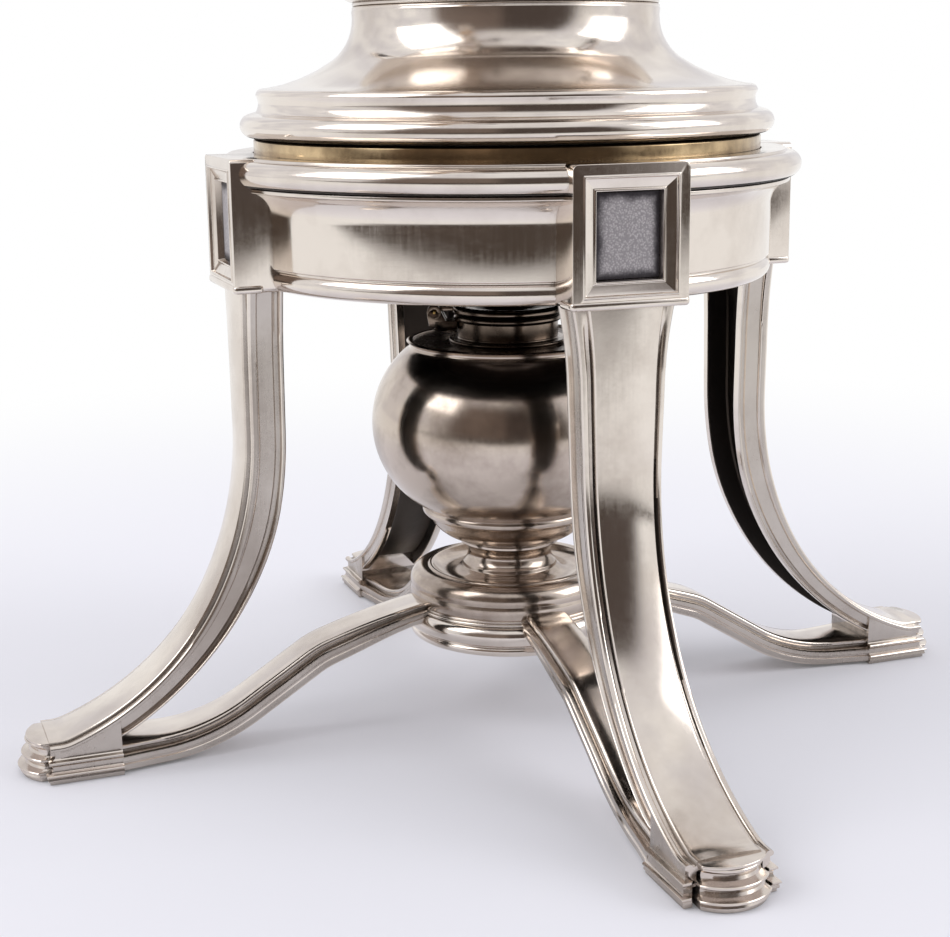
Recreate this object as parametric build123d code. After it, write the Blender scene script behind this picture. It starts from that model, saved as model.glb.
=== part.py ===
from build123d import *
import os
from math import cos, radians, sin, sqrt

# A spirit-heated samovar: an urn with a tap, on a four-legged stand with a spirit lamp.
# Millimetres, +Z up, the floor at Z = 0 and the samovar's own axis at X = Y = 0. The tap is at
# the front, towards -Y, the handles are at the sides, and the legs stand on the diagonals.

# Shared walls and clearances
WALL = 1.5
SEAT_GAP = 0.3
FIT = 0.05
TURNING_GAP = 0.05

# Stand ring, from its underside up
RING_BASE_Z = 136.5
RING_BORE_R = 72.5
LOW_BEAD_H = 5.4
LOW_BEAD_UNDERCUT = 2.2
LOW_BEAD_BULGE = 1.2
GROOVE_H = 0.7
GROOVE_DEPTH = 0.9
DRUM_R = 77.4
DRUM_H = 14.4
COVE_H = 6.4
COVE_OUT = 5.2
COVE_HOLLOW = 1.5
FILLET_H = 1.6
TOP_BEAD_H = 8.0
TOP_BEAD_BULGE = 3.7

# Seat plate in the top of the ring, which the urn stands on
SEAT_R = 74.0
SEAT_OPENING_R = 62.0
SEAT_PLATE_T = 2.5
SEAT_COLLAR_T = 3.5
SEAT_STAND_UP = 4.2
SEAT_LEDGE_DEPTH = 2.7

# Corner blocks with their framed panels
BLOCK_FACE_R = 86.6
BLOCK_HALF_W = 16.3
BLOCK_CORNER_R = 1.0
BLOCK_LIP_H = 1.8
BLOCK_LIP_OUT = 0.5
BLOCK_LIP_DEPTH = 8.0
BLOCK_BED = 0.2
FRAME_INSET = 2.9
FRAME_STEP = 2.3
FRAME_STEPS = 3
FRAME_STEP_DEPTH = 0.8
PANEL_DEPTH = 1.6
PANEL_T = 0.8

# Legs: a channel that drops straight from the block and sweeps out to the foot
LEG_FACE_R = 84.6
LEG_DEPTH = 12.0
LEG_BEND_R = 101.8
LEG_BEND = 26.7
LEG_SWEEP_R = 74.9
LEG_SWEEP = 48.0
LEG_LANDING = 0.5
LEG_TOP_HALF_W = 14.6
LEG_SHOULDER_HALF_W = 12.0
LEG_SHOULDER_DROP = 24.5
LEG_WAIST_HALF_W = 11.0
LEG_WAIST_Z = 62.0
LEG_ANKLE_HALF_W = 12.6
LEG_FACE_T = 3.2
LEG_FACE_INSET = 3.3
LEG_FACE_DROP = 2.6
LEG_ARCH_H = 5.0
LEG_BEAD_SET_BACK = 2.2
LEG_BEAD_T = 2.4
LEG_WEB_INSET = 0.9
LEG_FLANGE_T = 2.4
LEG_WALL = 3.0

# Feet: tiers of a square block with a round bay in front
FOOT_TIERS = 3
FOOT_TIER_H = 3.5
FOOT_LIP_H = 1.4
FOOT_LIP_RUN = 8.6
FOOT_BACK_RUN = 18.6
FOOT_HALF_W = 13.6
FOOT_SIDE_STEP = 0.6
FOOT_CORNER_OUT = 3.2
FOOT_CORNER_STEP = 0.9
BAY_OUT = 9.8
BAY_STEP = 0.9
BAY_R = 12.8
BAY_HALF_W = 9.8
BAY_SIDE_STEP = 0.6
BAY_NOTCH_W = 1.2
BAY_NOTCH_DEPTH = 2.4

# Stretchers: from the foot up to the cradle ring
STRETCHER_TOP_Z = 8.2
STRETCHER_UNDER_Z = 0.6
STRETCHER_RISE = 32.0
STRETCHER_FOOT_BEND_R = 50.0
STRETCHER_KNEE_R = 30.0
STRETCHER_KNEE_TURN = 14.0
STRETCHER_HEAD_R = 230.0
STRETCHER_HEAD_TURN = 8.0
STRETCHER_HEAD_Z = 38.3
STRETCHER_HEAD_T = 5.5
UNDER_RISE = 36.5
UNDER_BEND_R = 58.0
UNDER_KNEE_R = 32.0
UNDER_KNEE_TURN = 22.0
UNDER_HEAD_R = 400.0
UNDER_HEAD_TURN = 3.0
STRETCHER_HALF_W = 8.0
STRETCHER_FOOT_HALF_W = 12.4
STRETCHER_FLARE_RUN = 42.0
STRETCHER_TOP_T = 2.0
STRETCHER_GROOVE_T = 0.9
STRETCHER_TOP_INSET = 1.5
STRETCHER_GROOVE_INSET = 2.4

# Cradle ring that holds the lamp
CRADLE_R = 31.2
CRADLE_BORE_R = 29.7
CRADLE_FLANGE_R = 21.0
CRADLE_TOP_Z = 36.4
CRADLE_FLOOR_Z = 30.0
CRADLE_FLOOR_T = 2.5
CRADLE_RIM_H = 1.4
CRADLE_RIM_BULGE = 0.7
CRADLE_BAND_H = 6.6
CRADLE_BAND_BULGE = 1.7
CRADLE_FOOT_H = 3.0
CRADLE_FOOT_BULGE = 0.9

# Lamp foot
LAMP_FOOT_R = 28.7
LAMP_FOOT_RIM_H = 5.6
LAMP_FOOT_BULB_R = 31.6
LAMP_FOOT_BULB_H = 10.6
LAMP_DISH_R = 24.5
LAMP_DISH_DEPTH = 1.3
LAMP_NECK_FOOT_R = 15.0
LAMP_NECK_R = 12.9
LAMP_NECK_H = 9.5
LAMP_FOOT_HOLLOW_R = 24.0
LAMP_FOOT_HOLLOW_H = 9.0

# Lamp bowl
BOWL_R = 41.6
BOWL_ARC_R = 29.0
BOWL_MID_Z = 91.2
BOWL_MOUTH_R = 30.0
BOWL_LIP_H = 2.2
BOWL_LIP_OUT = 0.6
BOWL_LOW_R = 27.0
BOWL_STEP_H = 3.2
BOWL_STEP_BULGE = 0.7
BOWL_TAIL_R = 15.2
BOWL_TAIL_BULGE = 1.2
BOWL_WALL = 1.3

# Deck, wick collar, wick tube and wick
DECK_T = 1.2
DECK_SUNK = 0.5
COLLAR_R = 15.2
COLLAR_WALL = 1.6
COLLAR_H = 8.4
COLLAR_RIM_R = 16.4
COLLAR_RIM_H = 2.4
COLLAR_BASE_R = 17.6
COLLAR_BASE_T = 0.8
WICK_TUBE_R = 8.0
WICK_TUBE_WALL = 0.9
WICK_TUBE_H = 21.0
WICK_TUBE_TOP_DROP = 2.2
WICK_STAND_OUT = 1.4
WICK_H = 40.0

# Snuffing cover and its hinge
COVER_R = 16.8
COVER_T = 1.6
COVER_RIM_H = 0.6
HINGE_OUT = 22.0
HINGE_ANGLE = 203.6
HINGE_PIN_R = 0.9
HINGE_KNUCKLE_R = 2.2
HINGE_KNUCKLE_W = 3.4
HINGE_EAR_W = 1.6
HINGE_SIDE_GAP = 0.3
HINGE_STRAP_W = 3.0
BRACKET_DEPTH = 3.4

# Urn pedestal
PEDESTAL_R = 74.7
PEDESTAL_BEAD_H = 6.7
PEDESTAL_BEAD_BULGE = 3.3
PEDESTAL_BAND_R = 72.9
PEDESTAL_BAND_H = 5.2
PEDESTAL_BAND_HOLLOW = 0.7
PEDESTAL_EDGE_H = 1.6
PEDESTAL_TOP_R = 70.6
PEDESTAL_COVE_H = 22.6
PEDESTAL_NECK_IN = 2.4
PEDESTAL_COVE_MID_OUT = 6.3
PEDESTAL_COVE_MID_H = 7.9
PEDESTAL_COVE_LOW_SAG = 1.1
PEDESTAL_COVE_HIGH_SAG = 2.3
PEDESTAL_WALL = 2.0
PEDESTAL_RIM_T = 9.0

# Knop between pedestal and vessel
KNOP_H = 14.0
KNOP_BULGE = 5.4
KNOP_WALL = 4.9

# Vessel
BODY_R = 92.0
BODY_BELLY_R = 120.0
BODY_BELLY_TURN = 45.0
BODY_TUCK_R = 36.0
BODY_COLLAR_H = 5.6
BODY_LOW_SEAM_H = 22.0
GIRDLE_H = 7.0
GIRDLE_BULGE = 1.8
GIRDLE_T = 0.8
SHOULDER_R = 40.0
SHOULDER_TURN = 60.0
THROAT_R = 8.0
THROAT_H = 5.0
RIM_H = 4.0
RIM_OUT = 1.9

# Lid
LID_EDGE_OUT = 1.2
LID_EDGE_H = 2.4
LID_STEP_IN = 3.4
LID_DOME_H = 20.0
LID_DOME_BULGE = 5.4
LID_CROWN_R = 12.0
LID_CROWN_H = 2.0
BEZEL_H = 8.0
BEZEL_T = 1.4
BEZEL_GAP = 0.8

# Finial
FINIAL_BASE_R = 10.0
FINIAL_BASE_H = 6.0
FINIAL_WAIST_R = 7.3
INSULATOR_R = 8.6
INSULATOR_T = 3.0
FINIAL_STEM_R = 4.2
FINIAL_STEM_H = 4.0
FINIAL_BULB_R = 10.6
FINIAL_BULB_H = 16.0
FINIAL_TIP_H = 9.0
FINIAL_TIP_R = 2.4
FINIAL_TIP_FLAT_R = 0.6
FINIAL_ROD_R = 1.6
FINIAL_NUT_R = 5.0
FINIAL_NUT_T = 3.0

# Handles
HANDLE_OUT = 36.0
HANDLE_TUBE_R = 4.0
HANDLE_BEND_R = 9.0
HANDLE_DROP = 2.5
HANDLE_SPAN = 50.0
HANDLE_FERRULE_R = 6.0
HANDLE_FERRULE_H = 3.0
HANDLE_PLATE_HALF_W = 7.5
HANDLE_PLATE_OUT = 3.0
GRIP_END_R = 6.0
GRIP_BULGE = 2.0

# Tap, placed by its height over the vessel's base and its reach from the vessel's wall
TAP_RISE = 34.4
ROSETTE_R = 11.0
ROSETTE_OUT = 13.9
ROSETTE_ROOT = 30.0
ROSETTE_RING_R = 12.4
ROSETTE_RING_T = 2.6
TAP_TUBE_R = 6.5
TAP_BORE_R = 3.3
TAP_REACH = 33.2
TAP_INNER_RUN = 17.0
TAP_BARREL_R = 9.0
TAP_BARREL_H = 30.0
TAP_BARREL_BAND_H = 2.4
TAP_BARREL_BAND_OUT = 1.0
SPOUT_R = 5.4
SPOUT_DROP = 26.0
SPOUT_LIP_R = 7.0
SPOUT_LIP_H = 4.0
PLUG_TO_SPOUT = 12.4
PLUG_TOP_R = 6.0
PLUG_TAPER = 1.2
PLUG_STAND_UP = 2.0
PLUG_STEM_R = 2.5
PLUG_STEM_H = 9.0
PLUG_TAIL_R = 2.4
PLUG_TAIL_H = 8.0
PLUG_NUT_R = 4.4
PLUG_NUT_T = 3.4
PLUG_WASHER_R = 6.4
PLUG_WASHER_T = 1.2
BACK_NUT_R = 9.5
BACK_NUT_T = 5.0
LEVER_HUB_R = 5.4
LEVER_HUB_H = 7.0
LEVER_R = 2.6
LEVER_LENGTH = 22.0
LEVER_KNOB_R = 6.0
LEVER_KNOB_LENGTH = 13.0

# Worked-out places on the stand
LOW_BEAD_TOP_Z = RING_BASE_Z + LOW_BEAD_H
DRUM_BASE_Z = LOW_BEAD_TOP_Z + GROOVE_H
DRUM_TOP_Z = DRUM_BASE_Z + DRUM_H
COVE_TOP_Z = DRUM_TOP_Z + COVE_H
TOP_BEAD_BASE_Z = COVE_TOP_Z + FILLET_H
RING_TOP_Z = TOP_BEAD_BASE_Z + TOP_BEAD_H
COVE_R = DRUM_R + COVE_OUT
SEAT_LEDGE_Z = RING_TOP_Z - SEAT_LEDGE_DEPTH
SEAT_TOP_Z = RING_TOP_Z + SEAT_STAND_UP
BLOCK_BACK_R = sqrt(DRUM_R**2 - BLOCK_HALF_W**2) - BLOCK_BED
FOOT_TOP_Z = FOOT_TIERS * FOOT_TIER_H
LEG_SWEEP_END = LEG_BEND + LEG_SWEEP
LEG_SWEEP_DROP = LEG_SWEEP_R * (sin(radians(LEG_SWEEP_END)) - sin(radians(LEG_BEND)))
LEG_DROP = LEG_BEND_R * sin(radians(LEG_BEND)) + LEG_SWEEP_DROP
LEG_STRAIGHT = RING_BASE_Z - LEG_DROP - FOOT_TOP_Z - LEG_LANDING
LEG_SWEEP_RUN = LEG_SWEEP_R * (cos(radians(LEG_BEND)) - cos(radians(LEG_SWEEP_END)))
ANKLE_R = LEG_FACE_R + LEG_BEND_R * (1 - cos(radians(LEG_BEND))) + LEG_SWEEP_RUN
FOOT_BACK_R = ANKLE_R - FOOT_BACK_RUN
FOOT_CORNER_R = ANKLE_R + FOOT_CORNER_OUT
CRADLE_RIM_Z = CRADLE_TOP_Z - CRADLE_RIM_H
CRADLE_BAND_Z = CRADLE_RIM_Z - CRADLE_BAND_H
CRADLE_BASE_Z = CRADLE_BAND_Z - CRADLE_FOOT_H

# Worked-out places on the lamp
LAMP_BASE_Z = CRADLE_FLOOR_Z + SEAT_GAP
LAMP_RIM_Z = LAMP_BASE_Z + LAMP_FOOT_RIM_H
LAMP_DISH_Z = LAMP_RIM_Z + LAMP_FOOT_BULB_H
LAMP_NECK_Z = LAMP_DISH_Z - LAMP_DISH_DEPTH
LAMP_JOINT_Z = LAMP_NECK_Z + LAMP_NECK_H
BOWL_ARC_CENTRE_R = BOWL_R - BOWL_ARC_R
BOWL_MOUTH_Z = BOWL_MID_Z + sqrt(BOWL_ARC_R**2 - (BOWL_MOUTH_R - BOWL_ARC_CENTRE_R) ** 2)
BOWL_TOP_Z = BOWL_MOUTH_Z + BOWL_LIP_H
BOWL_LOW_Z = BOWL_MID_Z - sqrt(BOWL_ARC_R**2 - (BOWL_LOW_R - BOWL_ARC_CENTRE_R) ** 2)
BOWL_STEP_Z = BOWL_LOW_Z - BOWL_STEP_H
DECK_TOP_Z = BOWL_TOP_Z - DECK_SUNK
DECK_R = BOWL_MOUTH_R - BOWL_WALL
COLLAR_TOP_Z = DECK_TOP_Z + COLLAR_H
COLLAR_BORE_R = COLLAR_R - COLLAR_WALL
WICK_TUBE_TOP_Z = COLLAR_TOP_Z - WICK_TUBE_TOP_DROP
WICK_TOP_Z = WICK_TUBE_TOP_Z + WICK_STAND_OUT
COVER_BASE_Z = COLLAR_TOP_Z + SEAT_GAP
HINGE_Z = COVER_BASE_Z

# Worked-out places on the urn
PEDESTAL_BASE_Z = SEAT_TOP_Z + SEAT_GAP
PEDESTAL_BEAD_Z = PEDESTAL_BASE_Z + PEDESTAL_BEAD_H
PEDESTAL_BAND_Z = PEDESTAL_BEAD_Z + PEDESTAL_BAND_H
PEDESTAL_EDGE_Z = PEDESTAL_BAND_Z + PEDESTAL_EDGE_H
KNOP_BASE_Z = PEDESTAL_EDGE_Z + PEDESTAL_COVE_H
BODY_BASE_Z = KNOP_BASE_Z + KNOP_H
BODY_BELLY_DROP = BODY_BELLY_R * sin(radians(BODY_BELLY_TURN))
BODY_TUCK_DROP = BODY_TUCK_R * sin(radians(BODY_BELLY_TURN))
BODY_COLLAR_R = BODY_R - (BODY_BELLY_R + BODY_TUCK_R) * (1 - cos(radians(BODY_BELLY_TURN)))
BODY_COLLAR_Z = BODY_BASE_Z + BODY_COLLAR_H
BODY_TUCK_Z = BODY_COLLAR_Z + BODY_TUCK_DROP
BODY_MAX_Z = BODY_TUCK_Z + BODY_BELLY_DROP
BODY_LOW_SEAM_Z = BODY_BASE_Z + BODY_LOW_SEAM_H
PEDESTAL_NECK_R = BODY_COLLAR_R - PEDESTAL_NECK_IN
PEDESTAL_COVE_MID_R = PEDESTAL_NECK_R + PEDESTAL_COVE_MID_OUT
KNOP_BORE_R = PEDESTAL_NECK_R - KNOP_WALL
GIRDLE_TOP_Z = BODY_MAX_Z + GIRDLE_H
BODY_HIGH_SEAM_Z = BODY_MAX_Z + GIRDLE_H / 2
THROAT_RISE = (SHOULDER_R + THROAT_R) * sin(radians(SHOULDER_TURN))
MOUTH_R = BODY_R - (SHOULDER_R + THROAT_R) * (1 - cos(radians(SHOULDER_TURN)))
MOUTH_Z = GIRDLE_TOP_Z + THROAT_RISE + THROAT_H
LID_BASE_Z = MOUTH_Z + SEAT_GAP
LID_R = MOUTH_R + LID_EDGE_OUT
DOME_BASE_Z = LID_BASE_Z + LID_EDGE_H
DOME_BASE_R = LID_R - LID_STEP_IN
DOME_TOP_Z = DOME_BASE_Z + LID_DOME_H
CROWN_TOP_Z = DOME_TOP_Z + LID_CROWN_H
BEZEL_R = MOUTH_R - WALL - BEZEL_GAP
FINIAL_BASE_TOP_Z = CROWN_TOP_Z + FINIAL_BASE_H
INSULATOR_TOP_Z = FINIAL_BASE_TOP_Z + INSULATOR_T
FINIAL_STEM_Z = INSULATOR_TOP_Z + FINIAL_STEM_H
FINIAL_BULB_Z = FINIAL_STEM_Z + FINIAL_BULB_H
FINIAL_TOP_Z = FINIAL_BULB_Z + FINIAL_TIP_H
HANDLE_TOP_Z = BODY_MAX_Z - HANDLE_DROP - HANDLE_PLATE_HALF_W
HANDLE_LOW_Z = HANDLE_TOP_Z - HANDLE_SPAN
HANDLE_R = BODY_R + HANDLE_OUT
GRIP_TOP_Z = HANDLE_TOP_Z - HANDLE_BEND_R - HANDLE_FERRULE_H
GRIP_BASE_Z = HANDLE_LOW_Z + HANDLE_BEND_R + HANDLE_FERRULE_H

CORNERS = {"front_right": -45, "front_left": -135, "back_left": 135, "back_right": 45}
SIDES = {"right": 0, "left": 180}
FAR = 600.0
PAST = 1.0
SAME_POINT = 1e-6
ON_BASE = (Align.CENTER, Align.CENTER, Align.MIN)


class Outline:
    """A closed outline in the plane of radius and height, made of lines and bowed arcs."""

    def __init__(self, r, z):
        self.first = (r, z)
        self.last = (r, z)
        self.edges = []

    def to(self, r, z):
        """Go straight to a point, if the outline isn't there already."""
        if (Vector(*self.last) - Vector(r, z)).length > SAME_POINT:
            self.edges.append(Line(self.last, (r, z)))
            self.last = (r, z)
        return self

    def bow(self, r, z, rise):
        """Go to a point on an arc that stands off its chord by rise, to the right of the way."""
        dr, dz = r - self.last[0], z - self.last[1]
        chord = sqrt(dr**2 + dz**2)
        middle = ((self.last[0] + r) / 2 + rise * dz / chord, (self.last[1] + z) / 2 - rise * dr / chord)
        self.edges.append(ThreePointArc(self.last, middle, (r, z)))
        self.last = (r, z)
        return self

    def join(self, edges, end):
        """Go on along edges that start here and stop at end."""
        self.edges.extend(edges)
        self.last = end
        return self

    def face(self):
        """Close the outline and fill it."""
        self.to(*self.first)
        return make_face(self.edges)

    def turned(self):
        """Close the outline and turn it about the samovar's axis."""
        return revolve(Plane.XZ * self.face(), axis=Axis.Z, revolution_arc=360)


def run_on(start, heading, steps, side=0.0):
    """Edges of tangent lines and arcs, moved to the left of the way by side, and their end.

    A step is (length,) for a line and (radius, turn) for an arc that turns left by turn degrees.
    """
    way = radians(heading)
    r, z = start[0] - side * sin(way), start[1] + side * cos(way)
    edges = []
    for step in steps:
        if len(step) == 1:
            end = (r + step[0] * cos(way), z + step[0] * sin(way))
            edges.append(Line((r, z), end))
        else:
            radius, turn = step[0], radians(step[1])
            hand = 1 if turn > 0 else -1
            radius -= hand * side
            centre = (r - hand * radius * sin(way), z + hand * radius * cos(way))
            points = []
            for part in (0.5, 1.0):
                angle = way + part * turn
                reach = hand * radius
                points.append((centre[0] + reach * sin(angle), centre[1] - reach * cos(angle)))
            end = points[1]
            edges.append(ThreePointArc((r, z), points[0], end))
            way += turn
        r, z = end
    return edges, end


def between(way_a, way_b):
    """The face between two open ways that run side by side."""
    edges_a, end_a = way_a
    edges_b, end_b = way_b
    start_a, start_b = edges_a[0] @ 0, edges_b[0] @ 0
    return make_face([*edges_a, *edges_b, Line(start_a, start_b), Line(end_a, end_b)])


def block(x_from, x_to, y_from, y_to, z_from, z_to):
    """A box between two corners."""
    size = (x_to - x_from, y_to - y_from, z_to - z_from)
    return Pos(x_from, y_from, z_from) * Box(*size, align=(Align.MIN, Align.MIN, Align.MIN))


def rod(radius, z_from, z_to, x=0.0, y=0.0):
    """An upright round bar."""
    return Pos(x, y, z_from) * Cylinder(radius, z_to - z_from, align=ON_BASE)


def rod_along_y(radius, y_from, y_to, z):
    """A round bar along Y, at X = 0."""
    bar = Cylinder(radius, y_to - y_from, align=ON_BASE)
    return Pos(0, y_from, z) * Rot(-90, 0, 0) * bar


def rod_along_x(radius, x_from, x_to, y, z):
    """A round bar along X."""
    bar = Cylinder(radius, x_to - x_from, align=ON_BASE)
    return Pos(x_from, y, z) * Rot(0, 90, 0) * bar


# Stand

def block_bed():
    """The space that a corner block takes from the ring."""
    return block(BLOCK_BACK_R, FAR, -BLOCK_HALF_W, BLOCK_HALF_W, RING_BASE_Z - PAST, RING_TOP_Z + PAST)


def stand_ring():
    """The moulded ring: bead, groove, plain drum, cove and heavy top bead."""
    outline = Outline(RING_BORE_R, RING_BASE_Z)
    outline.to(DRUM_R - LOW_BEAD_UNDERCUT, RING_BASE_Z)
    outline.bow(DRUM_R - GROOVE_DEPTH / 2, LOW_BEAD_TOP_Z, LOW_BEAD_BULGE)
    outline.to(DRUM_R - GROOVE_DEPTH, LOW_BEAD_TOP_Z)
    outline.to(DRUM_R - GROOVE_DEPTH, DRUM_BASE_Z)
    outline.to(DRUM_R, DRUM_BASE_Z)
    outline.to(DRUM_R, DRUM_TOP_Z)
    outline.bow(COVE_R, COVE_TOP_Z, -COVE_HOLLOW)
    outline.to(COVE_R, TOP_BEAD_BASE_Z)
    outline.bow(COVE_R, RING_TOP_Z, TOP_BEAD_BULGE)
    outline.to(SEAT_R + FIT, RING_TOP_Z)
    outline.to(SEAT_R + FIT, SEAT_LEDGE_Z)
    outline.to(RING_BORE_R, SEAT_LEDGE_Z)
    ring = outline.turned()
    for angle in CORNERS.values():
        ring -= Rot(0, 0, angle) * block_bed()
    return ring


def seat_plate():
    """The flanged collar in the ring's top that the urn stands on."""
    outline = Outline(SEAT_OPENING_R, SEAT_LEDGE_Z)
    outline.to(SEAT_R, SEAT_LEDGE_Z)
    outline.to(SEAT_R, SEAT_TOP_Z)
    outline.to(SEAT_R - SEAT_COLLAR_T, SEAT_TOP_Z)
    outline.to(SEAT_R - SEAT_COLLAR_T, SEAT_LEDGE_Z + SEAT_PLATE_T)
    outline.to(SEAT_OPENING_R, SEAT_LEDGE_Z + SEAT_PLATE_T)
    return outline.turned()


def frame_half_sizes(step):
    """Half the width and half the height of the frame's opening at a step."""
    inset = FRAME_INSET + step * FRAME_STEP
    return BLOCK_HALF_W - inset, (RING_TOP_Z - RING_BASE_Z) / 2 - inset


def frame_pocket(step, depth_from, depth_to):
    """A box as large as the frame's opening at a step, between two depths behind the face."""
    half_w, half_h = frame_half_sizes(step)
    middle_z = (RING_TOP_Z + RING_BASE_Z) / 2
    x_from, x_to = BLOCK_FACE_R - depth_to, BLOCK_FACE_R - depth_from
    return block(x_from, x_to, -half_w, half_w, middle_z - half_h, middle_z + half_h)


def panel_floor_depth():
    """How far the last pocket's floor lies behind the block's face."""
    return (FRAME_STEPS - 1) * FRAME_STEP_DEPTH + PANEL_DEPTH


def corner_block():
    """A square block over a leg, with a stepped frame sunk in its face and a lip below."""
    body = block(BLOCK_BACK_R, BLOCK_FACE_R, -BLOCK_HALF_W, BLOCK_HALF_W, RING_BASE_Z, RING_TOP_Z)
    outer = body.edges().filter_by(Axis.Z).group_by(Axis.X)[-1]
    body = fillet(outer, BLOCK_CORNER_R)
    half_w = BLOCK_HALF_W + BLOCK_LIP_OUT
    lip_top_z = RING_BASE_Z + BLOCK_LIP_H
    lip_r = BLOCK_FACE_R + BLOCK_LIP_OUT
    body += block(BLOCK_FACE_R - BLOCK_LIP_DEPTH, lip_r, -half_w, half_w, RING_BASE_Z, lip_top_z)
    for step in range(FRAME_STEPS - 1):
        body -= frame_pocket(step, -PAST, (step + 1) * FRAME_STEP_DEPTH)
    return body - frame_pocket(FRAME_STEPS - 1, -PAST, panel_floor_depth())


def medallion_panel():
    """The matted plate on the floor of the frame."""
    depth = panel_floor_depth()
    return frame_pocket(FRAME_STEPS - 1, depth - PANEL_T, depth)


def leg_way(set_back):
    """The leg's line, set back from its front face, from the ring down past the foot's top."""
    steps = [(LEG_STRAIGHT,), (LEG_BEND_R, LEG_BEND), (LEG_SWEEP_R, LEG_SWEEP), (LEG_DEPTH * 2,)]
    return run_on((LEG_FACE_R, RING_BASE_Z), -90, steps, -set_back)


def leg_layer(set_back_from, set_back_to):
    """A layer of the leg between two depths, wider than the leg."""
    face = between(leg_way(set_back_from), leg_way(set_back_to))
    return extrude(Plane.XZ * face, amount=2 * LEG_TOP_HALF_W, both=True)


def leg_front(inset, top_z, arch):
    """The leg's front view, narrowed by inset on each side and arched at its top by arch."""
    sides = []
    for hand in (-1, 1):
        top = (hand * (LEG_TOP_HALF_W - inset), top_z - arch)
        flare_z = top_z - arch - LEG_SHOULDER_DROP / 2
        flare_half_w = LEG_SHOULDER_HALF_W + (LEG_TOP_HALF_W - LEG_SHOULDER_HALF_W) / 4
        flare = (hand * (flare_half_w - inset), flare_z)
        shoulder = (hand * (LEG_SHOULDER_HALF_W - inset), top_z - arch - LEG_SHOULDER_DROP)
        waist = (hand * (LEG_WAIST_HALF_W - inset), LEG_WAIST_Z)
        ankle = (hand * (LEG_ANKLE_HALF_W - inset), 0.0)
        edges = [ThreePointArc(top, flare, shoulder), ThreePointArc(shoulder, waist, ankle)]
        sides.append((top, edges, ankle))
    left, right = sides
    if arch:
        head = ThreePointArc(left[0], (0, top_z), right[0])
    else:
        head = Line(left[0], right[0])
    face = make_face([*left[1], *right[1], head, Line(left[2], right[2])])
    return extrude(Plane.YZ * face, amount=FAR)


def leg():
    """A channel-section leg: raised arched face, edge beads, side webs and rear flanges."""
    rear = LEG_DEPTH - LEG_FLANGE_T
    web_from = LEG_BEAD_SET_BACK + LEG_BEAD_T
    channel = leg_front(LEG_WALL, RING_BASE_Z, 0)
    full = leg_front(0, RING_BASE_Z, 0)
    face = leg_layer(0, LEG_FACE_T) & leg_front(LEG_FACE_INSET, RING_BASE_Z - LEG_FACE_DROP, LEG_ARCH_H)
    beads = leg_layer(LEG_BEAD_SET_BACK, web_from) & full
    webs = leg_layer(web_from, rear) & (leg_front(LEG_WEB_INSET, RING_BASE_Z, 0) - channel)
    flanges = leg_layer(rear, LEG_DEPTH) & (full - channel)
    whole = face + beads + webs + flanges
    whole -= block(0, FAR, -FAR, FAR, -FAR, STRETCHER_TOP_Z)
    return whole - foot_envelope()


def foot_tier(level, x_from, height):
    """One tier of the foot: a square block with notched corners and a shallow round bay."""
    half_w = FOOT_HALF_W - level * FOOT_SIDE_STEP
    corner = FOOT_CORNER_R - level * FOOT_CORNER_STEP
    bay_r = BAY_R - level * BAY_SIDE_STEP
    bay_half_w = BAY_HALF_W - level * BAY_SIDE_STEP
    bay_x = ANKLE_R + BAY_OUT - level * BAY_STEP - bay_r
    notch_x = corner - BAY_NOTCH_DEPTH
    z = level * FOOT_TIER_H
    tier = block(x_from, corner, -half_w, half_w, z, z + height)
    for hand in (-1, 1):
        inner, outer = sorted((hand * bay_half_w, hand * (bay_half_w + BAY_NOTCH_W)))
        tier -= block(notch_x, FAR, inner, outer, z, z + height)
    bay = rod(bay_r, z, z + height, x=bay_x)
    return tier + (bay & block(x_from, FAR, -bay_half_w, bay_half_w, z, z + height))


def foot():
    """A foot: three tiers and the lip that the leg's face runs out on."""
    whole = foot_tier(0, FOOT_BACK_R, FOOT_TIER_H)
    for level in range(1, FOOT_TIERS):
        whole += foot_tier(level, FOOT_BACK_R, FOOT_TIER_H)
    return whole + foot_tier(FOOT_TIERS, ANKLE_R - FOOT_LIP_RUN, FOOT_LIP_H)


def foot_envelope():
    """The space that the foot takes from the leg, with no notches in its lip."""
    lip_half_w = FOOT_HALF_W - FOOT_TIERS * FOOT_SIDE_STEP
    under = block(FOOT_BACK_R, FAR, -FAR, FAR, 0, FOOT_TOP_Z)
    lip_top_z = FOOT_TOP_Z + FOOT_LIP_H
    return under + block(ANKLE_R - FOOT_LIP_RUN, FAR, -lip_half_w, lip_half_w, FOOT_TOP_Z, lip_top_z)


def stretcher_way(start_z, foot_z, slope, falls, bend_r, side=0.0):
    """A line from the cradle out to the foot: arcs that steepen it, a slant, a bend and a level.

    Each fall is an arc's radius and turn. The slant is as long as the drop to the foot needs.
    """
    first_slope = slope - sum(turn for radius, turn in falls)
    drop = bend_r * (1 - cos(radians(slope)))
    run = bend_r * sin(radians(slope))
    steps = []
    at = first_slope
    for radius, turn in falls:
        drop += radius * (cos(radians(at)) - cos(radians(at + turn)))
        run += radius * (sin(radians(at + turn)) - sin(radians(at)))
        steps.append((radius, -turn))
        at += turn
    slant = (start_z - foot_z - drop) / sin(radians(slope))
    level = FOOT_BACK_R - CRADLE_BORE_R - run - slant * cos(radians(slope))
    steps.extend([(slant,), (bend_r, slope), (level,)])
    return run_on((CRADLE_BORE_R, start_z), -first_slope, steps, side)


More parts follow.
